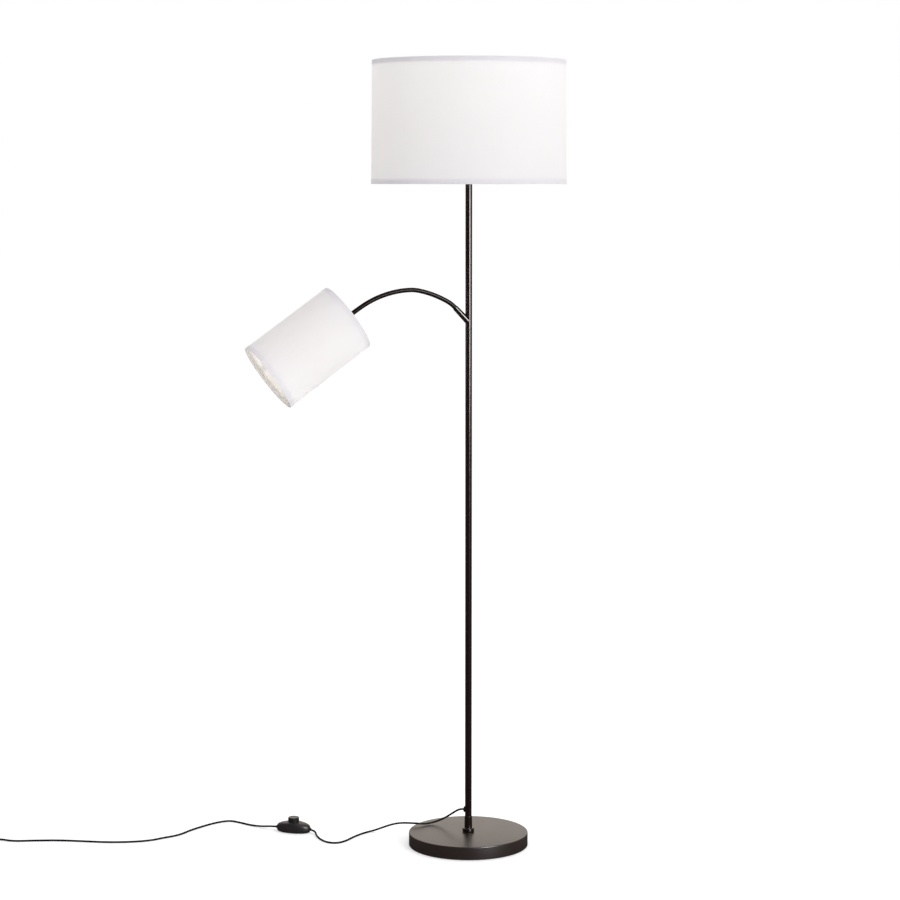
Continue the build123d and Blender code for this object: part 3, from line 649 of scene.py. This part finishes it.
arm = {
    "rootHeight": 1100.5,
    "rootAngle": 46.0,
    "radius": 4.75,
    "sides": 40,
    "socket": {
        "root": 6.75, "mouth": 5.7, "low": 0.5, "length": 42.0, "bore": 4.85, "flare": 0.03, "lip": 0.5,
    },
    "sleeveStart": 23.0,
    "endStraight": 29.0,
    # each piece of sleeve covers one hinge: the bodies before and after it, length and downward turn
    # of the run before and of the run after it, and the nodes that the piece stands for
    "pieces": [
        ("stand", "arm_1", [(22.0, 17.0), (16.5, 4.25)], ["gooseneck_1", "gooseneck_lead"]),
        ("arm_1", "arm_2", [(16.5, 4.25), (33.0, 9.5)], ["gooseneck_2"]),
        ("arm_2", "arm_3", [(17.0, 12.5), (28.0, 8.5)], ["gooseneck_3"]),
        ("arm_3", "arm_4", [(28.0, 8.0), (24.0, 7.0)], ["gooseneck_4"]),
        ("arm_4", "reading_head", [(24.0, 7.0), (26.0, 3.75)], ["gooseneck_5", "gooseneck_6"]),
    ],
    # share of a sleeve piece's runs about its hinge
    "spread": 0.9,
    "stepLength": 2.0,
    "straightSteps": (4, 6),
}


def armHeading(angle):
    return Vector((-cos(radians(angle)), 0, sin(radians(angle))))


def armStep(spot, angle, length, turn=0):
    # end of one run that bends down by turn, and its heading there
    chord = length if turn == 0 else 2 * length / radians(turn) * sin(radians(turn) / 2)
    return spot + armHeading(angle - turn / 2) * chord, angle - turn


def makeSocket():
    s = arm["socket"]
    bore, low, high = s["bore"], s["low"], s["length"]
    mouth = s["mouth"] + s["flare"]
    piece = turned("armSocket", [
        (bore, low, 0), (s["root"], low, 0), (mouth, high, s["lip"]), (bore, high, 0), (bore, low, 0),
    ], sides=48, hollow=True)
    where = frameAt((0, 0, arm["rootHeight"]), armHeading(arm["rootAngle"]), (0, 1, 0))
    dress(settle(piece, where), "stand", "pole_enamel", ["arm_socket"])


def pullStraight(along, steps):
    for _ in range(steps):
        pull(*(along / steps))


def makeArm():
    angle = arm["rootAngle"]
    root = Vector((0, 0, arm["rootHeight"]))
    spot = root + armHeading(angle) * arm["socket"]["length"]
    stepsIn, stepsOut = arm["straightSteps"]
    last = len(arm["pieces"])
    for number, (bodyA, bodyB, runs, replaced) in enumerate(arm["pieces"], 1):
        start = root + armHeading(angle) * arm["sleeveStart"] if number == 1 else spot
        clearSelection()
        bpy.ops.mesh.primitive_circle_add(
            vertices=arm["sides"], radius=arm["radius"] * mm, fill_type="NGON", location=place(start),
            rotation=armHeading(angle).to_track_quat("Z", "Y").to_euler())
        piece = bpy.context.object
        piece.name = "armSleeve_" + str(number)
        openEdit(piece)
        if number == 1:
            pullStraight(spot - start, stepsIn)
        for length, bend in runs:
            below = Vector((-sin(radians(angle)), 0, -cos(radians(angle))))
            centre = spot + below * (length / radians(bend))
            steps = round(length / arm["stepLength"])
            bpy.ops.mesh.spin(steps=steps, angle=radians(bend), center=place(centre), axis=(0, 1, 0))
            spot, angle = armStep(spot, angle, length, bend)
        if number == last:
            pullStraight(armHeading(angle) * arm["endStraight"], stepsOut)
        closeEdit()
        dress(settle(piece), None, "arm_sleeve", replaced)
        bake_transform(piece)
    print("arm ends at", [round(v, 2) for v in spot], "falling", round(-angle, 2))


# Shades

head = {"at": (-257.27, 0, 1115.15), "falls": 35.75}
headPlace = frameAt(head["at"], armHeading(-head["falls"]), (0, 1, 0))
mainPlace = Matrix.Identity(4)
shades = {
    # radii at the lower and the upper rim, the seam's place in degrees, and the flat size in metres
    "main": {
        "place": mainPlace, "body": "stand", "low": 1383.0, "height": 250.0, "radii": (200.0, 197.5),
        "seam": 72.5, "sides": 192, "flat": (1.262, 0.25),
    },
    "reading": {
        "place": headPlace, "body": "reading_head", "low": 0.0, "height": 205.0, "radii": (74.0, 75.0),
        "seam": 0.0, "sides": 128, "flat": (0.478, 0.205),
    },
    "wallRows": 8,
    "cloth": 0.6,
    "lining": 0.6,
    "hemWidth": 10.0,
    "hemThick": 0.25,
    "glue": 0.05,
    "lap": 12.0,
    "lapThick": 0.25,
    "lapShort": 5.0,
    "lapRows": 8,
    "lapSteps": 6,
}


def shadeRadius(s, height):
    # outer radius at a height above the lower rim
    low, high = s["radii"]
    return low + (high - low) * height / s["height"]


def wrapUv(piece, where, seam):
    # u runs round the shade and v along it, both in metres
    back = where.inverted()
    mesh = piece.data
    while mesh.uv_layers:
        mesh.uv_layers.remove(mesh.uv_layers[0])
    layer = mesh.uv_layers.new(name="wrap")
    for face in mesh.polygons:
        spots = [back @ mesh.vertices[mesh.loops[i].vertex_index].co for i in face.loop_indices]
        turns = [(atan2(p.y, p.x) - radians(seam)) % (2 * pi) for p in spots]
        if max(turns) - min(turns) > pi:
            turns = [t + 2 * pi if t < pi else t for t in turns]
        for i, p, t in zip(face.loop_indices, spots, turns):
            layer.data[i].uv = (t * Vector((p.x, p.y)).length, p.z)


def shadeRing(name, s, inset, thick, low, high, where, rows=1):
    # a slightly conical band of the shade, from low to high above its lower rim
    heights = [low + (high - low) * i / rows for i in range(rows + 1)]
    outer = [(shadeRadius(s, height) - inset, s["low"] + height, 0) for height in heights]
    inner = [(radius - thick, height, 0) for radius, height, _ in reversed(outer)]
    piece = turned(name, outer + inner + outer[:1], s["sides"], hollow=True)
    settle(piece, where)
    wrapUv(piece, where, s["seam"])
    return piece


def lineInside(wall, where):
    # the wall's inner faces are the film that the cloth is glued to
    wall.data.materials.append(liningFilm)
    back = where.inverted()
    for face in wall.data.polygons:
        spot, out = (back @ face.center).xy, (back.to_3x3() @ face.normal).xy
        if out.dot(spot) < -0.5 * spot.length:
            face.material_index = 1


def makeShade(key):
    s = shades[key]
    where, body = s["place"], s["body"]
    inset = shades["hemThick"] + shades["glue"]
    thick = shades["cloth"] + shades["lining"]
    wall = shadeRing(key + "ShadeWall", s, inset, thick, 0.0, s["height"], where, shades["wallRows"])
    dress(wall, body, "shade_fabric", [key + "_shade_fabric"])
    lineInside(wall, where)
    for end, low in (("low", 0.0), ("high", s["height"] - shades["hemWidth"])):
        name = key + "ShadeHem_" + end
        hem = shadeRing(name, s, 0.0, shades["hemThick"], low, low + shades["hemWidth"], where)
        dress(hem, body, "shade_trim", [key + "_shade_trim"])
    lap = dress(makeLap(key, s, where), body, "shade_fabric")


def makeLap(key, s, where):
    # the cloth's glued overlap, a strip that stands a little proud at the back
    inset = shades["hemThick"] + shades["glue"] - shades["lapThick"]
    short = shades["lapShort"]
    turn = radians(s["seam"])
    clearSelection()
    bpy.ops.mesh.primitive_plane_add(size=1, location=(0, 0, 0))
    strip = bpy.context.object
    strip.name = key + "ShadeLap"
    # one edge up the cloth is kept of the plane, and spun round by the overlap's width
    openEdit(strip)
    bpy.ops.mesh.merge(type="CENTER")
    bpy.ops.mesh.extrude_region_move(TRANSFORM_OT_translate={"value": (0, 0, 1)})
    bpy.ops.object.mode_set(mode="OBJECT")
    lowEnd, highEnd = sorted(strip.data.vertices, key=lambda v: v.co.z)
    for vertex, height in ((lowEnd, short), (highEnd, s["height"] - short)):
        radius = shadeRadius(s, height) - inset
        vertex.co = place((radius * cos(turn), radius * sin(turn), s["low"] + height))
    openEdit(strip, "EDGE")
    bpy.ops.mesh.subdivide(number_cuts=shades["lapRows"] - 1)
    bpy.ops.mesh.select_all(action="SELECT")
    width = shades["lap"] / s["radii"][0]
    bpy.ops.mesh.spin(steps=shades["lapSteps"], angle=width, center=(0, 0, 0), axis=(0, 0, 1))
    closeEdit()
    addWall(strip, shades["lapThick"], 0)
    settle(strip, where)
    wrapUv(strip, where, s["seam"])
    return strip


# Lamps in their holders

lamps = {
    "main": {
        "place": mainPlace, "body": "stand",
        "neck": 1475.0, "neckRadius": 13.0, "ball": 30.0, "centre": 1523.0,
    },
    "reading": {
        "place": headPlace, "body": "reading_head",
        "neck": 66.0, "neckRadius": 6.9, "ball": 22.5, "centre": 95.5,
    },
    "touch": 38,  # degrees below the ball's equator where its neck begins
    "neckSteps": 10,
    "ballSteps": 24,
    "tip": 0.02,
}


def makeGlass(key):
    # a ball that narrows to its neck in one sweep
    g = lamps[key]
    r, centre = g["ball"], g["centre"]
    touch = radians(lamps["touch"])
    touchAt = Vector((r * cos(touch), centre - r * sin(touch)))
    # the neck is an arc that leaves the ball along its slope and ends at the cap
    chord = Vector((g["neckRadius"], g["neck"])) - touchAt
    side = Vector((cos(touch), -sin(touch)))
    bow = chord.length_squared / (2 * chord.dot(side))
    middle = touchAt + side * bow
    first, final = (atan2(p.y, p.x) for p in (touchAt - middle, touchAt + chord - middle))
    swing = (final - first + pi) % (2 * pi) - pi
    rings = []
    for i in range(lamps["neckSteps"], 0, -1):
        angle = first + swing * i / lamps["neckSteps"]
        rings.append((middle.x + abs(bow) * cos(angle), middle.y + abs(bow) * sin(angle), 0))
    for i in range(lamps["ballSteps"] + 1):
        angle = -touch + (pi / 2 + touch) * i / lamps["ballSteps"]
        rings.append((max(r * cos(angle), lamps["tip"]), centre + r * sin(angle), 0))
    piece = turned(key + "LampGlass", rings)
    dress(settle(piece, g["place"]), g["body"], "opal_glass", [key + "_bulb_glass"])


# Foot switch

switch = {
    "centre": (-328.5, 205.3),
    "heading": -34.5,
    "across": 0.497,  # width of its oval rim as a share of the length
    "roundness": 1.6,  # how late the oval turns into the round hole
    "sides": 96,
    "wall": 1.6,
    # radius and height of the cover's rings, from its rim up and down into the hole
    "cover": [
        (38.2, 7.05), (38.15, 9.6), (37.6, 12.6), (36.2, 15.1), (33.8, 17.1), (30.4, 18.6), (26.6, 19.7),
        (22.6, 20.4), (19.0, 20.9), (16.2, 21.3), (14.1, 21.75), (12.7, 22.0), (12.1, 21.8), (12.1, 15.0),
    ],
}
switchTurn = Matrix.Rotation(radians(switch["heading"]), 4, "Z")
switchPlace = Matrix.Translation(place((*switch["centre"], 0))) @ switchTurn


def makeCover():
    # rings go from the oval rim up to the round hole for the button
    rings = switch["cover"]
    (rim, foot), hole, across = rings[0], rings[-1][0], switch["across"]
    clearSelection()
    bpy.ops.mesh.primitive_circle_add(
        vertices=switch["sides"], radius=rim * mm, fill_type="NOTHING", location=(0, 0, foot * mm))
    piece = bpy.context.object
    piece.name = "switchCover"
    openEdit(piece)
    widen(1, across)
    wasX, wasY = rim, rim * across
    for (_, wasHeight), (x, height) in zip(rings, rings[1:]):
        share = (rim - x) / (rim - hole)
        y = x * (across + (1 - across) * share ** switch["roundness"])
        pull(0, 0, height - wasHeight)
        widen(x / wasX, y / wasY, height)
        wasX, wasY = x, y
    closeEdit()
    addWall(piece, switch["wall"], -1)
    dress(settle(piece, switchPlace), "stand", "switch_plastic", ["switch_cover"])


button = {
    "radius": 11.75, "low": 12.6, "top": 32.0, "bore": 10.15, "roof": 1.8, "tip": 0.05,
    "flange": (1.2, 1.5, 0.3), "flangeStep": 0.1, "rim": 2.4, "dish": (0.6, 0.5, 0.8),
    "rounds": (1.5, 0.4),  # of the top's edge and of the dish's
    "sideRings": (4.0, 5.0, 1.6),  # one above the foot and two below the top
    "flutes": 24, "pointsPerFlute": 6, "fluteDepth": 0.075, "fluteEnds": (3.0, 1.2), "fluteSkin": 0.4,
}


def makeButton():
    # round, flanged at its foot, hollow, with a shallow dish in its top and flutes down its side
    b = button
    r, low, top, bore, tip = (b[key] for key in ("radius", "low", "top", "bore", "tip"))
    (over, thick, flangeRound), (slope, edge, middle) = b["flange"], b["dish"]
    (edgeRound, dishRound), (above, below, shoulder) = b["rounds"], b["sideRings"]
    inside, roof = r - b["rim"], top - b["roof"]
    piece = turned("switchButton", [
        (bore, low, 0), (r + over, low, 0), (r + over, low + thick, flangeRound),
        (r, low + thick + b["flangeStep"], 0), (r, low + above, 0), (r, top - below, 0),
        (r, top - shoulder, 0), (r, top, edgeRound), (inside, top, dishRound),
        (inside - slope, top - edge, dishRound), (tip, top - middle, 0), (tip, roof, 0),
        (bore, roof, 0), (bore, low, 0),
    ], b["flutes"] * b["pointsPerFlute"], hollow=True)
    fromFoot, fromTop = b["fluteEnds"]
    for vertex in piece.data.vertices:
        x, y, z = vertex.co / mm
        if Vector((x, y)).length > r - b["fluteSkin"] and low + fromFoot < z < top - fromTop:
            flute = 0.5 - 0.5 * cos(atan2(y, x) * b["flutes"])
            inwards = 1 - b["fluteDepth"] * flute
            vertex.co = place((x * inwards, y * inwards, z))
    dress(settle(piece, switchPlace), "foot_button", "button_plastic", ["switch_button"])


spring = {
    "radius": 4.5, "wire": 0.4, "turns": 5, "low": 2.25, "high": 29.95, "floor": 1.8, "travel": 3.5,
    "pointsPerTurn": 24,
}


def makeSpring():
    # the button's return spring, a wire wound up round the switch's post
    count = spring["turns"] * spring["pointsPerTurn"]
    points = []
    for i in range(count + 1):
        turn = 2 * pi * spring["turns"] * i / count
        rise = spring["low"] + (spring["high"] - spring["low"]) * i / count
        points.append((spring["radius"] * cos(turn), spring["radius"] * sin(turn), rise))
    piece = asMesh(roundWire("switchSpring", points, spring["wire"], kind="POLY", facets=3))
    dress(settle(piece, switchPlace), "stand", "spring_steel", ["switch_spring"])
    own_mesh(piece)


# Lead inside the pole and pad under the base

innerLead = {
    "points": [
        (0, 0, 1414.0), (0, 0, 1100.0), (0.6, -0.5, 760.0), (0, 0, 420.0), (0, 0, 110.0),
        (0.4, -0.3, 80.0), (-1.2, 1.0, 75.5), (-3.447, 2.893, 75.0),
    ],
}
pad = {
    "radius": 121.0, "thick": 2.0, "recess": 22.0, "recessDepth": 0.5, "slope": 0.6, "edge": 0.5, "tip": 0.05,
}


def makeInnerLead():
    piece = asMesh(roundWire("leadInPole", innerLead["points"], lead["thick"] / 2))
    dress(settle(piece), "stand", "cord_pvc", ["pole_lead"])


def makePad():
    r, thick, recess, deep, edge, tip = (
        pad[key] for key in ("radius", "thick", "recess", "recessDepth", "edge", "tip"))
    piece = turned("basePad", [
        (tip, deep, 0), (recess, deep, 0), (recess + pad["slope"], 0.0, 0), (r, 0.0, edge), (r, thick, edge),
        (recess, thick, 0), (tip, thick, 0),
    ], sides=128)
    openEdit(piece)
    bpy.ops.mesh.fill_holes(sides=0)
    closeEdit()
    dress(settle(piece), "stand", "foam_pad", ["base_pad"])


# Plug and tie

plug = {
    "corner": 4.0, "waist": (17.0, 10.8), "shoulder": (18.2, 11.6, 1.0), "full": (26.0, 14.8), "length": 34.0,
    "straight": 18.7, "bellySteps": 6,
    # how much smaller the body gets at its front edge, and by how far
    "front": ((0.5, 0.9), (1.8, 0.5)),
}
reliefCone = {
    "length": 26.0, "root": 4.0, "tip": 2.5, "bore": 2.05, "ribs": 7, "start": 1.5, "groove": 0.7,
    # where each rib ends and its groove begins and ends, as shares of their length together
    "shares": (0.62, 0.7, 0.92),
    "overlap": 0.5,
}


def makePlug():
    along = plugHeading
    where = frameAt(plugStart, along, along.cross(Vector((0, 0, 1))))
    return makePlugBody(where), makeRelief(where)


def makePlugBody(where):
    # a rounded plate pulled along the lead and widened
    low = reliefCone["length"]
    (waistX, waistY), (x, y, rise), (fullX, fullY) = plug["waist"], plug["shoulder"], plug["full"]
    clearSelection()
    bpy.ops.mesh.primitive_plane_add(size=1, location=(0, 0, low * mm))
    body = bpy.context.object
    body.name = "plugBody"
    openEdit(body)
    widen(waistX * mm, waistY * mm, low)
    bpy.ops.mesh.bevel(offset=plug["corner"] * mm, offset_type="OFFSET", segments=6, affect="VERTICES")
    bpy.ops.mesh.select_all(action="SELECT")
    steps = [(x, y, rise)]
    belly = plug["length"] - plug["straight"] - rise
    for i in range(1, plug["bellySteps"] + 1):
        bulge = sin(i / plug["bellySteps"] * pi / 2)
        steps.append((x + (fullX - x) * bulge, y + (fullY - y) * bulge, belly / plug["bellySteps"]))
    front = sum(rise for _, rise in plug["front"])
    steps.append((fullX, fullY, plug["straight"] - front))
    steps += [(fullX - less, fullY - less, rise) for less, rise in plug["front"]]
    height, wasX, wasY = low, waistX, waistY
    for x, y, rise in steps:
        height += rise
        pull(0, 0, rise)
        widen(x / wasX, y / wasY, height)
        wasX, wasY = x, y
    closeEdit()
    return dress(settle(body, where), "stand", "black_plastic", ["plug_body"])


def makeRelief(where):
    # a cone round the lead with grooves between its ribs
    r = reliefCone
    bore, tip, root, groove = r["bore"], r["tip"], r["root"], r["groove"]
    end = r["length"] + r["overlap"]
    step = (r["length"] - r["start"] - r["overlap"]) / r["ribs"]
    ribEnd, grooveStart, grooveEnd = (step * share for share in r["shares"])
    rings = [(bore, 0.0, 0), (tip, 0.0, 0)]
    for i in range(r["ribs"]):
        at = tip + (root - tip) * (i + 0.5) / r["ribs"]
        start = r["start"] + step * i
        rings += [(at, start, 0), (at, start + ribEnd, 0)]
        rings += [(at - groove, start + grooveStart, 0), (at - groove, start + grooveEnd, 0)]
    rings += [(root, end, 0), (bore, end, 0), (bore, 0.0, 0)]
    piece = turned("plugRelief", rings, sides=32, hollow=True)
    return dress(settle(piece, where), "stand", "black_plastic")


tie = {"turn": 0.375, "thick": 0.8, "width": 8.0, "corner": 1.5, "edge": 0.2}


def makeTie():
    # strap round one side of the coil, its box taken from the node it stands for
    lowCorner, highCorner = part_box("cord_tie")
    around = radians(coil["entry"] + 90 - 360 * tie["turn"])
    middle = (lowCorner + highCorner) / 2
    span = (highCorner - lowCorner) / mm
    rise = span.z - 2 * tie["thick"]
    across = (span.x - tie["width"] * abs(sin(around))) / abs(cos(around)) - 2 * tie["thick"]
    clearSelection()
    bpy.ops.mesh.primitive_plane_add(size=1, location=(0, 0, 0))
    strap = bpy.context.object
    strap.name = "coilTie"
    openEdit(strap)
    widen(across * mm, rise * mm)
    bpy.ops.mesh.bevel(offset=tie["corner"] * mm, offset_type="OFFSET", segments=5, affect="VERTICES")
    bpy.ops.mesh.select_all(action="SELECT")
    bpy.ops.mesh.delete(type="ONLY_FACE")
    bpy.ops.mesh.select_all(action="SELECT")
    bpy.ops.transform.translate(value=(0, 0, -tie["width"] / 2 * mm))
    pull(0, 0, tie["width"])
    closeEdit()
    addWall(strap, tie["thick"], 1)
    edge = strap.modifiers.new("edge", "BEVEL")
    edge.width = tie["edge"] * mm
    edge.segments = 2
    bpy.ops.object.modifier_apply(modifier="edge")
    outward, up = Vector((cos(around), sin(around), 0)), Vector((0, 0, 1))
    where = Matrix.Translation(middle) @ Matrix((outward, up, outward.cross(up))).transposed().to_4x4()
    return dress(settle(strap, where), "stand", "black_plastic", ["cord_tie"])


# Floor, room light and lamps

room = {
    "size": 60.0,
    "floorGrey": 0.89,
    # light of its own that lifts the floor to white in the picture
    "lift": 0.32,
    # light from the room, from the near left (first) to the bright backdrop at the far right (second)
    "ambient": (0.43, 1.2),
    "backdrop": (0.64, 0.77, 0.0),
    "nearTint": (1.0, 0.945, 1.0, 1),
    "farTint": (0.985, 1.02, 1.0, 1),
    # how strongly the bright backdrop shines through the shades
    "through": 1.3,
    # the dim side of the room, as behind a camera, and how bright the room mirrors in a glossy piece,
    # from behind the lamp (0) to the photographed side (1)
    "dimSide": (-0.30, -0.954, -0.5),
    "dimFrom": -1.12,
    "wallTint": (1.18, 1.07, 0.97),
    "mirror": [(0.0, 1.0), (0.03, 0.85), (0.07, 0.55), (0.14, 0.35), (0.3, 0.14), (0.5, 0.07), (1.0, 0.04)],
    # the same for the floor, as painted shade in its mirrored colour, over these metres towards the back
    "floorBack": (0.30, 0.954, 0.0),
    "floorFade": (-0.2, 2.0),
    "floorInMirror": (0.03, 0.4),
}
white = (1, 1, 1, 1)


def towards(tree, coords, direction, low, high, dark=0.0, bright=1.0):
    # a value that goes from dark to bright along a direction
    along = add(tree, "ShaderNodeVectorMath", {0: coords, 1: direction}, operation="DOT_PRODUCT")
    ends = {"From Min": low, "From Max": high, "To Min": dark, "To Max": bright}
    return add(tree, "ShaderNodeMapRange", {"Value": along.outputs["Value"], **ends}).outputs["Result"]


def blendValue(tree, share, first, second):
    return add(tree, "ShaderNodeMix", {"Factor": share, "A": first, "B": second}).outputs["Result"]


def blendColour(tree, share, first, second):
    # sockets 6 and 7 are the two colours of a Mix node, and output 2 is its colour
    return add(tree, "ShaderNodeMix", {0: share, 6: first, 7: second}, data_type="RGBA").outputs[2]


def makeRoomLight():
    world = bpy.context.scene.world or bpy.data.worlds.new("room")
    bpy.context.scene.world = world
    world.use_nodes = True
    # without this the ray kinds below have no effect on the light from the room
    world.cycles.sampling_method = "NONE"
    tree = world.node_tree
    tree.nodes.clear()
    path = add(tree, "ShaderNodeLightPath").outputs
    camera, glossy, through = (path[ray] for ray in ("Is Camera Ray", "Is Glossy Ray", "Is Transmission Ray"))
    coords = add(tree, "ShaderNodeTexCoord").outputs["Generated"]
    dim = towards(tree, coords, room["dimSide"], room["dimFrom"], 1.0)
    stops = [(spot, [level * part for part in room["wallTint"]] + [1]) for spot, level in room["mirror"]]
    mirrored = ramp(tree, dim, stops)
    # the camera and glossy pieces see the room as white, and the shades let a bright backdrop through
    shown = add(tree, "ShaderNodeMath", {0: camera, 1: glossy}, operation="MAXIMUM").outputs["Value"]
    depth = towards(tree, coords, room["backdrop"], -1.0, 1.0)
    plain = blendValue(tree, shown, blendValue(tree, depth, *room["ambient"]), 1.0)
    strength = blendValue(tree, through, plain, room["through"])
    tint = blendColour(tree, depth, room["nearTint"], room["farTint"])
    colour = blendColour(tree, glossy, blendColour(tree, camera, tint, white), mirrored)
    back = add(tree, "ShaderNodeBackground", {"Color": colour, "Strength": strength})
    add(tree, "ShaderNodeOutputWorld", {"Surface": back.outputs["Background"]})


def makeFloor():
    clearSelection()
    bpy.ops.mesh.primitive_plane_add(size=room["size"], location=(0, 0, 0))
    floor = bpy.context.object
    floor.name = "studioFloor"
    material, tree = newMaterial("paleFloor")
    path = add(tree, "ShaderNodeLightPath").outputs
    # painted shade: mirrored in a glossy piece, the floor's colour darkens from behind the lamp towards the
    # front, where the room is dim
    coords = add(tree, "ShaderNodeTexCoord").outputs["Object"]
    shade = towards(tree, coords, room["floorBack"], *room["floorFade"], *room["floorInMirror"])
    dull = blendValue(tree, path["Is Glossy Ray"], room["floorGrey"], shade)
    paint = add(tree, "ShaderNodeBsdfDiffuse", {"Color": dull})
    lift = add(tree, "ShaderNodeMath", {0: path["Is Camera Ray"], 1: room["lift"]}, operation="MULTIPLY")
    glow = add(tree, "ShaderNodeEmission", {"Color": white, "Strength": lift.outputs["Value"]})
    both = add(tree, "ShaderNodeAddShader", {0: paint.outputs["BSDF"], 1: glow.outputs["Emission"]})
    finish(tree, both.outputs["Shader"])
    floor.data.materials.append(material)
    floor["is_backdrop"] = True


softboxes = {
    # place, aim, width, height, power and spread, in metres, watts and degrees, and whether the lamp
    # lights the object and is mirrored in its glossy pieces
    "key": ((1.0, -2.83, 1.5), (0, 0, 1.1), 0.9, 1.8, 25.0, 180, True, True),
    "screen": ((1.15, -2.77, 1.5), (0, 0, 1.3), 1.3, 1.6, 100.0, 180, False, True),
    # a narrow beam into the reading shade
    "fill": ((-0.9, -1.3, 0.35), (-0.36, 0, 0.98), 0.3, 0.3, 0.35, 50, True, False),
    "top": ((0.4, -0.6, 3.4), (0, 0, 0.6), 1.6, 1.6, 11.0, 180, True, True),
}


def makeLamps():
    for name, (at, aim, width, height, power, spread, lights, mirrored) in softboxes.items():
        data = bpy.data.lights.new(name, "AREA")
        data.shape = "RECTANGLE"
        data.size, data.size_y = width, height
        data.energy = power
        data.spread = radians(spread)
        lamp = bpy.data.objects.new(name, data)
        lamp.location = at
        lamp.rotation_euler = (Vector(aim) - Vector(at)).to_track_quat("-Z", "Y").to_euler()
        lamp.visible_camera = False
        lamp.visible_diffuse = lights
        lamp.visible_transmission = lights
        lamp.visible_glossy = mirrored
        bpy.context.scene.collection.objects.link(lamp)
    bpy.context.scene.view_settings.view_transform = "Standard"


# Build

makeBase()
makeCollar()
makePole()
print("base, collar and pole made")
makeSocket()
makeArm()
for key in ("main", "reading"):
    makeShade(key)
    makeGlass(key)
print("arm, shades and lamps made")
makeInnerLead()
makePad()
makeCover()
makeButton()
makeSpring()
plugBody, plugRelief = makePlug()
coilTie = makeTie()
print("switch, plug and tie made")

slotOf = {part["node"]: part["material_slot"] for part in frame["record"]["subparts"]}
for name, node in nodes.items():
    if node.hide_render:
        continue
    if not node.data.materials:
        node.data.materials.append(finishes[slotOf[name]])
    for holder in node.material_slots:
        holder.material = finishes[slotOf[name]]
print("kept CAD nodes:", sum(not node.hide_render for node in nodes.values()))

makeRoomLight()
makeFloor()
makeLamps()

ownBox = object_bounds()
for name, box in (("cad", cadBox), ("visual", ownBox)):
    print(name, "box", [[round(x, 4) for x in v] for v in box])
